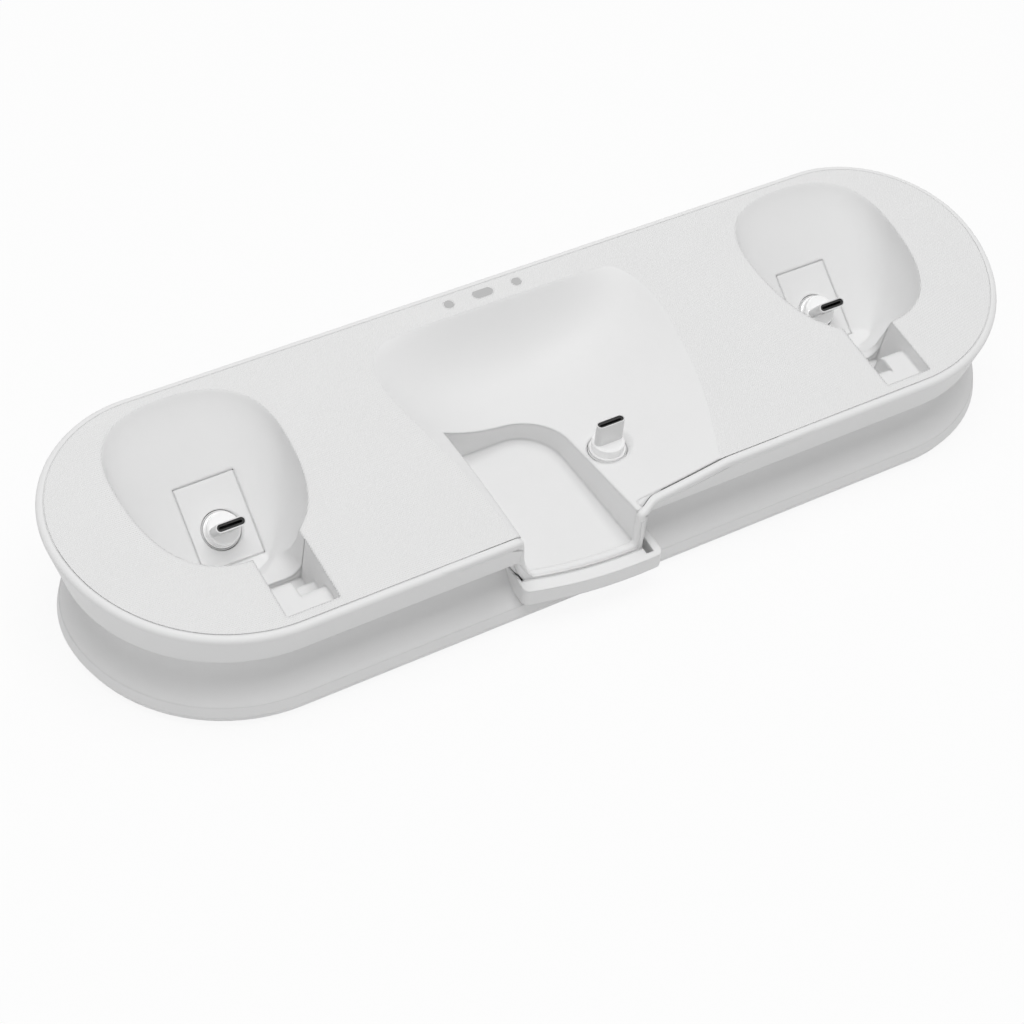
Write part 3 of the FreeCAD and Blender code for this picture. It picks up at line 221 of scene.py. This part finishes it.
# %% The shell's finish
WHITE, MOTTLE = 0.80, 0.004
GRAIN_SCALE, GRAIN_DETAIL, GRAIN_HEIGHT, GRAIN_STRENGTH = 4200.0, 2.0, 0.00002, 0.35
SHELL_EDGE = 0.0007
shell = Finish("shell_white", roughness=0.5, Specular_IOR_Level=0.4)
shell.mottled(WHITE, MOTTLE)
grain = shell.noise(GRAIN_SCALE, GRAIN_DETAIL)
shell.bump(grain, GRAIN_HEIGHT, GRAIN_STRENGTH, soft=SHELL_EDGE)
print("shell finish:", len(shell.tree.nodes), "nodes")

# %% [markdown]
# ## Woven texture of the top plate
# The plate's flat face is textured with a weave of tiny raised threads, and the hollows
# are smooth.  A mask finds the face by its depth under the sloping plane of the top, and
# the weave is the product of two sine waves, one across and one along the slope.  A
# second mask keeps the normals plain near the seam, so that the seam stays a thin line.

# %% Weave
THREAD, WEAVE_HEIGHT, COVER_EDGE = 0.00078, 0.00011, 0.0014
FACE_FROM, FACE_TO = 0.00002, 0.00008
cover = Finish("cover_white", roughness=0.52, Specular_IOR_Level=0.35)
cover.mottled(WHITE, MOTTLE)
x, y, z = cover.xyz()
depth = y * math.sin(TILT) - (z - TOP_HEIGHT) * math.cos(TILT)
on_top = depth.abs().ramp(FACE_FROM, FACE_TO, 1.0, 0.0)
along = y * math.cos(TILT) + (z - TOP_HEIGHT) * math.sin(TILT)
warp = (x * (2 * math.pi / THREAD)).sin()
weft = (along * (2 * math.pi / THREAD)).sin()
weave = (warp * weft) * on_top
print("threads per centimetre:", round(0.01 / THREAD, 1))

# %% A mask beside the seam
CRISP_WIDTH = 0.0042
spread = (z - RIM_LOW) * RIM_LEAN
level = y - SHIFT


def past_end(radius):
    """How far a point lies outside the racetrack's end arc of this radius."""
    reach = (x.abs() - (HALF_LENGTH - radius)).larger(0.0)
    return (reach * reach + level * level).sqrt() - spread - radius


is_back = level.greater(0.0)
outside = past_end(FRONT_ARC) * (1.0 - is_back) + past_end(BACK_ARC) * is_back
near_seam = outside.greater(-CRISP_WIDTH) * on_top
relief = weave * 0.5 + cover.noise(GRAIN_SCALE, GRAIN_DETAIL) * 0.2
cover.bump(relief, WEAVE_HEIGHT, 1.0, soft=COVER_EDGE, crisp=near_seam)
print("cover finish:", len(cover.tree.nodes), "nodes")

# %% [markdown]
# ## Small parts
# The tips stand on bright discs with steel shells and dark linings.  The rest is mostly
# hidden: magnets, pins, boards, screws, rubber.  Each of these has one plain colour with
# its own gloss.

# %% Finishes of the small parts
disc = Finish("disc_metal", roughness=0.18, metallic=0.15, colour=(0.93, 0.93, 0.93))
plug = Finish("plug_metal", roughness=0.3, metallic=1.0, colour=(0.66, 0.66, 0.66))
black = Finish("plug_black", roughness=0.5, colour=(0.012, 0.012, 0.012))
gold = Finish("contact_gold", roughness=0.3, metallic=1.0, colour=(0.8, 0.6, 0.25))
magnet = Finish("magnet_metal", roughness=0.3, metallic=1.0, colour=(0.5, 0.5, 0.5))
soft = Finish("soft_ring", roughness=0.8, colour=(0.05, 0.05, 0.05))
window = Finish("window_grey", roughness=0.4, colour=(0.47, 0.47, 0.47))
board = Finish("board_green", roughness=0.4, colour=(0.02, 0.14, 0.06))
steel = Finish("screw_steel", roughness=0.35, metallic=1.0, colour=(0.5, 0.5, 0.5))
rubber = Finish("foot_rubber", roughness=0.85, colour=(0.25, 0.25, 0.25))
print("finishes:", len(bpy.data.materials))

# %% Dress the packed nodes
FINISHES = {
    "shell_white": shell, "cover_white": cover, "disc_metal": disc, "plug_metal": plug,
    "plug_black": black, "socket_black": black, "magnet_metal": magnet, "contact_gold": gold,
    "soft_ring": soft, "window_grey": window, "board_green": board, "screw_steel": steel,
    "foot_rubber": rubber,
}
for part in frame["record"]["subparts"]:
    mesh = nodes[part["node"]].data
    mesh.materials.clear()
    mesh.materials.append(FINISHES[part["material_slot"]].material)

# %% [markdown]
# ## Strips: a profile carried along a line
# Every new piece is a strip: a small closed profile repeated along a line, as one grid of
# points.  Faces join each ring of points to the next.  A curve object with a bevel could
# carry a profile too, but its twist is hard to hold, and here each ring is known.


# %% Lines of points
def even(points, step):
    """Points at equal steps along a line of points: its running length is added up, and
    each column is read off at equal lengths."""
    run = np.concatenate([[0.0], np.cumsum(np.linalg.norm(np.diff(points, axis=0), axis=1))])
    at = np.arange(0.0, run[-1], step)
    return np.stack([np.interp(at, run, column) for column in points.T], axis=1)


def eased(points, width=13):
    """Running mean over width points, with the ends held; it rounds a line's corners."""
    kernel = np.ones(width) / width
    padded = np.pad(points, ((width // 2, width // 2), (0, 0)), mode="edge")
    return np.stack([np.convolve(column, kernel, mode="valid") for column in padded.T], axis=1)


corner = np.array([[0.0, 0.0], [1.0, 0.0], [1.0, 1.0]])
print("an eased corner passes", eased(even(corner, 0.05))[20].round(2))


# %% Meshes from grids of rings
def mesh_piece(name, grid, faces, finish, body):
    """A mesh of the grid's points and these faces, outwards and smooth, on a body."""
    mesh = bpy.data.meshes.new(name)
    mesh.from_pydata(grid.reshape(-1, 3).tolist(), [], faces)
    shape = bmesh.new()
    shape.from_mesh(mesh)
    bmesh.ops.recalc_face_normals(shape, faces=shape.faces)
    shape.to_mesh(mesh)
    shape.free()
    mesh.materials.append(finish.material)
    mesh.polygons.foreach_set("use_smooth", [True] * len(mesh.polygons))
    new = bpy.data.objects.new(name, mesh)
    scene.collection.objects.link(new)
    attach(new, body)
    print(name, "on", body, len(mesh.polygons), "faces")
    return new


def strip(name, grid, finish, body, closed=False):
    """Faces between neighbouring rings of the grid.  A closed strip meets itself, and an
    open one has each end shut by one face."""
    count, ring = grid.shape[:2]
    row = np.arange(count if closed else count - 1)[:, None]
    step = np.arange(ring)[None, :]
    after, above = (step + 1) % ring, (row + 1) % count
    corners = (row * ring + step, row * ring + after, above * ring + after, above * ring + step)
    faces = np.stack(corners, axis=-1).reshape(-1, 4).tolist()
    if not closed:
        faces += [list(range(ring)), list(range((count - 1) * ring, count * ring))]
    return mesh_piece(name, grid, faces, finish, body)


def bar_profile(wide, tall):
    """A rectangle with its upper inner corner at zero."""
    return np.array([[0.0, 0.0], [wide, 0.0], [wide, -tall], [0.0, -tall]])


print("profile of a bar 3 by 4:", bar_profile(3, 4).tolist())

# %% [markdown]
# ## Rays on the cover
# The new pieces have to lie flush with the packed cover, so its surface is read with
# rays.  A BVH tree answers each ray quickly, and the answers go back into one array.


# %% Read the cover's surface
def drop(starts, direction):
    """Where rays from the starts first meet the cover; a miss gives not-a-number."""
    way = Vector(direction)
    hits = [cover_tree.ray_cast(Vector(start), way)[0] for start in starts]
    return np.array([(np.nan,) * 3 if hit is None else hit[:] for hit in hits])


plate = nodes["top_cover"].data
spots = np.empty(len(plate.vertices) * 3, dtype=np.float32)
plate.vertices.foreach_get("co", spots)
triangles = np.empty(len(plate.loops), dtype=np.int32)
plate.loops.foreach_get("vertex_index", triangles)
cover_tree = BVHTree.FromPolygons(spots.reshape(-1, 3).tolist(), triangles.reshape(-1, 3).tolist())
print("height at the middle of the seat:", drop([(0.0, 0.01, 0.06)], (0, 0, -1))[0, 2].round(4))

# %% [markdown]
# ## The bays of the three tips
# Each tip stands in a bay: a centre given across, along the slope and under the top, and
# a lean.  The side bays lie on the steep floors of the cradles, and the middle one is
# level.

# %% Bay frames
ACROSS = np.array([1.0, 0.0, 0.0])
SIDE_LEAN = TILT + math.radians(30.3)
BAYS = {
    "left": (-0.0942, 0.0065, 0.0191, SIDE_LEAN),
    "centre": (0.0059, -0.0181, 0.0077, 0.0),
    "right": (0.0942, 0.0065, 0.0191, SIDE_LEAN),
}


def bay_frame(bay):
    """A bay's centre, its direction up the slope and its normal."""
    across, up_slope, under, lean = BAYS[bay]
    centre = np.array([across, up_slope * math.cos(TILT) + under * math.sin(TILT),
                       TOP_HEIGHT + up_slope * math.sin(TILT) - under * math.cos(TILT)])
    slope = np.array([0.0, math.cos(lean), math.sin(lean)])
    normal = np.array([0.0, -math.sin(lean), math.cos(lean)])
    return centre, slope, normal


for bay in BAYS:
    print(bay, "bay at", (bay_frame(bay)[0] * 1000).round(1), "mm")

# %% [markdown]
# ## Parting lines of the insert panels
# A panel is let into each cradle, and its parting line is thin and shallow.  The packed
# gap runs right through the wall, so light is lost in it and it looks like a crack.  The
# cradle could be made anew, but a narrow bar a little under the surface is enough: it
# gives the gap a floor and leaves the packed shapes alone.

# %% Panel seams
PANEL_HALF, PANEL_LOW, PANEL_HIGH = 0.0083, -0.00904, 0.01356
PANEL_GAP, PANEL_DEEP, PANEL_BAR, PANEL_STEP = 0.0002, 0.00012, 0.0003, 0.0005
ON_COVER, RAY_HEIGHT, REACH, TINY = 0.0006, 0.02, 0.006, 1e-6


def panel_seam(bay):
    """A bar round the panel's rectangle, on the slope, at a fixed depth under the
    cradle's own surface as rays beside the gap read it."""
    centre, slope, normal = bay_frame(bay)
    corners = np.array([[-PANEL_HALF, PANEL_LOW], [PANEL_HALF, PANEL_LOW],
                        [PANEL_HALF, PANEL_HIGH], [-PANEL_HALF, PANEL_HIGH],
                        [-PANEL_HALF, PANEL_LOW]])
    overlap = corners[1:2] * 0.1 + corners[:1] * 0.9
    u, w = even(np.concatenate([corners, overlap]), PANEL_STEP).T
    push_u = np.sign(u) * (np.abs(u) > PANEL_HALF - TINY)
    push_w = np.where(w > PANEL_HIGH - TINY, 1.0, np.where(w < PANEL_LOW + TINY, -1.0, 0.0))
    push = push_u[:, None] * ACROSS + push_w[:, None] * slope
    at = centre + u[:, None] * ACROSS + w[:, None] * slope
    hits = drop(at + push * ON_COVER + normal * RAY_HEIGHT, -normal)
    rise = (hits - centre) @ normal - PANEL_DEEP
    kept = np.abs(rise) <= REACH
    inner = (at + rise[:, None] * normal)[kept]
    outer = inner + push[kept] * PANEL_GAP
    low = normal * PANEL_BAR
    rings = np.stack([inner, outer, outer - low, inner - low], axis=1)
    return strip("panel_seam_" + bay, rings, shell, "dock")


for bay in ("left", "right"):
    panel_seam(bay)

# %% [markdown]
# ## The seam round the cover
# The cover drops into the rim with a thin seam, and the rim's ledge shows at its bottom.
# A dark line in the finish would leave no step in the mesh, so a narrow bar follows the
# racetrack as the ledge.  It is a little deeper at the front, where the seam shows as a
# line, than at the back.

# %% Racetrack line
TOP_RISE = TOP_HEIGHT - RIM_LOW
SEAT_SIDE = 0.046
ARC_POINTS = 60


def seam_line():
    """The right half of the racetrack from the seat's side, and the same mirrored.  Each
    row holds x, y and the outward direction: first the straight, then a quarter circle
    at the front, then one at the back."""
    grown = RIM_LEAN * TOP_RISE - LEDGE
    back, front, half_length = BACK_ARC + grown, FRONT_ARC + grown, HALF_LENGTH + grown
    turn = np.linspace(0.0, math.pi / 2, ARC_POINTS)
    straight = np.linspace(SEAT_SIDE, half_length - front, ARC_POINTS)[:-1]
    level_row = np.stack([straight, np.full_like(straight, SHIFT - front),
                          np.zeros_like(straight), np.full_like(straight, -1.0)], axis=1)
    sine, cosine = np.sin(turn), np.cos(turn)
    front_arc = np.stack([half_length - front + front * sine, SHIFT - front * cosine,
                          sine, -cosine], axis=1)
    sine, cosine = sine[1:], cosine[1:]
    back_arc = np.stack([half_length - back + back * cosine, SHIFT + back * sine,
                         cosine, sine], axis=1)
    half = np.concatenate([level_row, front_arc, back_arc])
    return np.concatenate([half, half[::-1] * np.array([-1.0, 1.0, -1.0, 1.0])])


print("seam line:", len(seam_line()), "points")

# %% Seam floor
FRONT_DEEP, BACK_DEEP, SEAM_TALL = 0.00022, 0.00008, 0.0004


def seam_floor():
    """A bar along the seam line, moved outwards by the rim's lean times its height over
    the top's middle, and laid under the sloping top."""
    px, py, nx, ny = seam_line().T
    lean = RIM_LEAN * (TOP_HEIGHT + py * math.tan(TILT) - RIM_LOW - TOP_RISE)
    px, py = px + nx * lean, py + ny * lean
    deep = np.where(ny < 0, FRONT_DEEP, BACK_DEEP)
    a, b = bar_profile(SEAM, SEAM_TALL).T
    gx = px[:, None] - nx[:, None] * a
    gy = py[:, None] - ny[:, None] * a
    gz = TOP_HEIGHT + gy * math.tan(TILT) - deep[:, None] + b
    return strip("seam_floor", np.stack([gx, gy, gz], axis=-1), shell, "dock")


seam_floor()

# %% [markdown]
# ## The groove behind the lip
# The lip stands off the rim's edge in front of the trough by a narrow groove, and this
# bar is the groove's floor.  The chin in front of the trough bows out, a little more at
# the right, so its line is a formula of a number that goes from -1 at the left end to 1
# at the right.

# %% Chin line and groove
CHIN_LEFT, CHIN_RIGHT = -0.0351, 0.0028
CHIN_MIDDLE, CHIN_HALF = (CHIN_LEFT + CHIN_RIGHT) / 2, (CHIN_RIGHT - CHIN_LEFT) / 2
CHIN_LINE, CHIN_SKEW, CHIN_BOW = -0.0389, 0.0026, 0.0016
GROOVE_FROM, GROOVE_IN = -0.8, 0.0001
GROOVE_DEPTH, GROOVE_WIDE, GROOVE_TALL = 0.0187, 0.0007, 0.0008


def chin_front(share):
    """The chin's front: a level line, less a skew, less a parabola's bow."""
    return CHIN_LINE - CHIN_SKEW * share - CHIN_BOW * (1 - share**2)


def lip_groove():
    """A bar along the chin's front, at a fixed depth under the sloping top."""
    share = np.linspace(GROOVE_FROM, 1.0, ARC_POINTS)
    front = chin_front(share)
    a, b = bar_profile(GROOVE_WIDE, GROOVE_TALL).T
    gx = np.repeat((CHIN_MIDDLE + share * CHIN_HALF)[:, None], len(a), axis=1)
    gy = (front + GROOVE_IN)[:, None] - a
    top = TOP_HEIGHT + front * math.tan(TILT) - GROOVE_DEPTH / math.cos(TILT)
    return strip("lip_groove", np.stack([gx, gy, top[:, None] + b], axis=-1), shell, "dock")


lip_groove()

# %% [markdown]
# ## Soft rings round the tips
# A tip floats in a soft ring that hides the depth of its well.  A torus would stand too
# round in so narrow a gap, so a small quadrangle is carried round instead.  The ring
# rides on the socket, because it moves with the tip's small tilt.

# %% Well rings
RING = np.array([[0.00492, -0.0009], [0.0052, -0.0007], [0.0052, -0.0016], [0.00492, -0.0016]])


def well_ring(bay):
    """A small quadrangle carried round a circle in the bay's own plane."""
    centre, slope, normal = bay_frame(bay)
    turn = np.linspace(0.0, 2 * math.pi, 65)[:-1]
    spoke = np.cos(turn)[:, None] * ACROSS + np.sin(turn)[:, None] * slope
    grid = centre + spoke[:, None, :] * RING[:, :1] + normal * RING[:, 1:]
    return strip(bay + "_well_ring", grid, shell, bay + "_socket", closed=True)


for bay in BAYS:
    well_ring(bay)

# %% [markdown]
# ## The rim's edge round the trough
# One rounded edge runs outside the seam: along the rim, down the left wall of the
# trough, along its front, up the right wall and on beside the seat.  It is a profile
# carried along a path, and the path is the cover's own front edge, read by a row of
# rays, so that the two stay flush.

# %% Path of the edge
STEP = 0.0002
RAY_ROW, RAY_TOP, ROW_HALF = -0.0358, 0.06, 0.058
LEFT_RISE, SWOOP = 0.010, 0.22


def edge_path():
    """x and z follow the cover's front edge, eased twice.  y follows the chin at the
    trough's floor and the leaning rim elsewhere, and turns from one to the other with
    the height on the left and with the way along on the right."""
    row = np.arange(-ROW_HALF, ROW_HALF, STEP)
    starts = np.stack([row, np.full_like(row, RAY_ROW), np.full_like(row, RAY_TOP)], axis=1)
    heights = drop(starts, (0, 0, -1))[:, 2]
    met = ~np.isnan(heights)
    path = eased(eased(even(np.stack([row[met], heights[met]], axis=1), STEP)))
    px, pz = path.T
    share = (px - CHIN_MIDDLE) / CHIN_HALF
    rim_y = RIM_FRONT - RIM_LEAN * (pz - RIM_LOW)
    up = np.where(px < CHIN_LEFT / 2, np.clip((pz - pz.min()) / LEFT_RISE, 0.0, 1.0), 0.0)
    off = np.clip((np.abs(share) - 1.0) / SWOOP, 0.0, 1.0)
    to_rim = np.maximum(up, off)
    py = chin_front(share) * (1 - to_rim) + rim_y * to_rim
    return px, eased(py[:, None])[:, 0], pz, rim_y


edge_x, edge_y, edge_z, rim_line = edge_path()
print("edge path:", len(edge_x), "points, from", edge_z.min().round(4), "to", edge_z.max().round(4))

# %% [markdown]
# The packed seat ends on the rim's line, and the edge swings out past it near the trough.
# A thin plate carries the seat's surface over that small corner.

# %% Toe of the seat
TOE_FROM, TOE_TO, TOE_DROP = 0.0026, 0.010, 0.003
TOE_UNDER, TOE_LEAST, TOE_TOP, TOE_LOW = 0.0010, 0.0001, 0.00002, 0.0012


def seat_toe():
    """A plate between the edge's inner side and the rim's line, flush with the seat."""
    seat_level = edge_z[edge_x > TOE_TO][0]
    beside = (edge_x > TOE_FROM) & (edge_x < TOE_TO) & (edge_z > seat_level - TOE_DROP)
    inner = rim_line[beside] + LEDGE + TOE_UNDER
    outer = np.minimum((edge_y + LEDGE)[beside] + SEAM, inner - TOE_LEAST)
    top = edge_z[beside]
    gx = np.repeat(edge_x[beside][:, None], 4, axis=1)
    gy = np.stack([outer, inner, inner, outer], axis=1)
    gz = np.stack([top - TOE_TOP, top - TOE_TOP, top - TOE_LOW, top - TOE_LOW], axis=1)
    return strip("seat_toe", np.stack([gx, gy, gz], axis=-1), cover, "dock")


seat_toe()

# %% Profile of the edge
EDGE_TALL, OUTER_ROUND, INNER_ROUND = 0.0026, 0.0013, 0.00025


def edge_profile(wide):
    """Closed profile: a is outwards from the seam, b is up.  Each top corner is a quarter
    circle, and the outer side leans in by the rim's lean as it goes down."""
    turn = np.linspace(0.0, math.pi / 2, 7)
    sine, cosine = np.sin(turn), np.cos(turn)
    inside = np.stack([INNER_ROUND * (1 - cosine), INNER_ROUND * (sine - 1)], axis=1)
    outside = np.stack([wide - OUTER_ROUND * (1 - sine), OUTER_ROUND * (cosine - 1)], axis=1)
    low = np.array([[wide, -EDGE_TALL], [0.0, -EDGE_TALL]])
    loop = np.concatenate([inside, outside, low])
    loop[:, 0] += np.where(loop[:, 0] > wide / 2, RIM_LEAN * np.minimum(loop[:, 1], 0.0), 0.0)
    return loop


print("edge profile:", len(edge_profile(LEDGE)), "points")

# %% Edge round the trough
PROUD, WIDER, SINK, SINK_RUN = 0.00002, 0.00003, 0.0005, 0.008


def trough_edge():
    """The profile stands across the path, with its up side a quarter turn from the path's
    direction.  It is a hair proud of the rim, and both ends sink into the rim."""
    way = np.gradient(np.stack([edge_x, edge_z], axis=1), axis=0)
    way /= np.linalg.norm(way, axis=1)[:, None]
    a, b = edge_profile(LEDGE + WIDER).T
    place = np.arange(len(edge_x))
    from_end = np.minimum(place, place[::-1]) * STEP
    sink = SINK * (1 - np.clip(from_end / SINK_RUN, 0, 1)) ** 2 - PROUD
    gx = edge_x[:, None] - way[:, 1:] * b
    gy = (edge_y + LEDGE)[:, None] - a + sink[:, None]
    gz = edge_z[:, None] + way[:, :1] * b - sink[:, None]
    return strip("trough_edge", np.stack([gx, gy, gz], axis=-1), shell, "dock")


trough_edge()

# %% [markdown]
# ## Studio
# The dock stands on a pale floor that takes its shadow.  Stronger lamps would whiten the
# floor but bleach the dock too, so the floor's finish glows a plain white instead, and
# only where the camera or a glossy surface sees it.

# %% Floor
FLOOR_HALF, FLOOR_Z, GLOW_SHARE = 3.0, -0.0002, 0.9
ground = Finish("studio_floor", roughness=0.9, colour=(0.82, 0.82, 0.82))
camera_ray = ground.node("ShaderNodeLightPath", {}, {}, "Is Camera Ray")
glossy_ray = ground.node("ShaderNodeLightPath", {}, {}, "Is Glossy Ray")
seen = (camera_ray + glossy_ray).clamp()
glow = ground.node("ShaderNodeEmission", {}, {"Color": (1, 1, 1, 1), "Strength": 1.0})
matt = Wrap(ground, ground.shader.outputs[0])
mixed = ground.node("ShaderNodeMixShader", {}, {0: seen * GLOW_SHARE, 1: matt, 2: glow})
ground.feed(ground.tree.nodes["Material Output"].inputs[0], mixed)
mesh = bpy.data.meshes.new("studio_floor")
corners = [(-1, -1), (1, -1), (1, 1), (-1, 1)]
points = [(FLOOR_HALF * u, FLOOR_HALF * v, FLOOR_Z) for u, v in corners]
mesh.from_pydata(points, [], [(0, 1, 2, 3)])
mesh.materials.append(ground.material)
floor = bpy.data.objects.new("studio_floor", mesh)
scene.collection.objects.link(floor)
print("floor:", 2 * FLOOR_HALF, "m square")

# %% [markdown]
# ## Light
# An even sky fills the hollows, a wide lamp overhead gives the gentle shading, and a weak
# one from the left lifts the left end.  The sky shows white to the camera and in a gloss.

# %% Sky
SKY = 0.52
world = bpy.data.worlds.new("studio")
scene.world = world
world.use_nodes = True
sky = Tree(world.node_tree)
background = world.node_tree.nodes["Background"]
background.inputs["Color"].default_value = (1, 1, 1, 1)
direct = sky.node("ShaderNodeLightPath", {}, {}, "Is Camera Ray")
mirrored = sky.node("ShaderNodeLightPath", {}, {}, "Is Glossy Ray")
sky.feed(background.inputs["Strength"], direct.larger(mirrored).ramp(0.0, 1.0, SKY, 1.0))
print("sky strength:", SKY)

# %% Lamps
MIDDLE = Vector((0.0, 0.0, 0.0))
LAMP_SIDE = 1.0


def lamp(name, place, power):
    """A square metre of light that faces the dock's middle."""
    data = bpy.data.lights.new(name, "AREA")
    data.shape = "RECTANGLE"
    data.size, data.size_y = LAMP_SIDE, LAMP_SIDE
    data.energy = power
    new = bpy.data.objects.new(name, data)
    new.location = place
    new.rotation_euler = (MIDDLE - Vector(place)).to_track_quat("-Z", "Y").to_euler()
    scene.collection.objects.link(new)
    print(name, "lamp:", power, "W")


lamp("key", (0.0, -0.05, 1.5), 11.0)
lamp("side", (-1.3, -0.2, 0.9), 0.8)

# %% [markdown]
# ## Camera
# The camera looks down from the front left, about two thirds of a metre away.  A place, a
# forward and a right-hand direction are simpler to hold than three angles, and up is
# worked out from them.  The focal length is given in widths of the frame.

# %% Camera
SENSOR = 36.0
FOCAL_WIDTHS = 2391.2 / 1024.0
eye = Vector((-0.268729, -0.376088, 0.469810))
forward = Vector((0.39118, 0.57075, -0.72195)).normalized()
right = Vector((0.85956, -0.50689, 0.06501)).normalized()
up = right.cross(forward)
camera = bpy.data.objects.new("camera", bpy.data.cameras.new("camera"))
camera.data.sensor_width = SENSOR
camera.data.lens = SENSOR * FOCAL_WIDTHS
camera.data.clip_start = 0.01
turn = Matrix((right, up, -forward)).transposed()
camera.matrix_world = Matrix.Translation(eye) @ turn.to_4x4()
scene.collection.objects.link(camera)
scene.camera = camera
scene.view_settings.view_transform = "Standard"
print("lens:", round(camera.data.lens, 2), "mm")
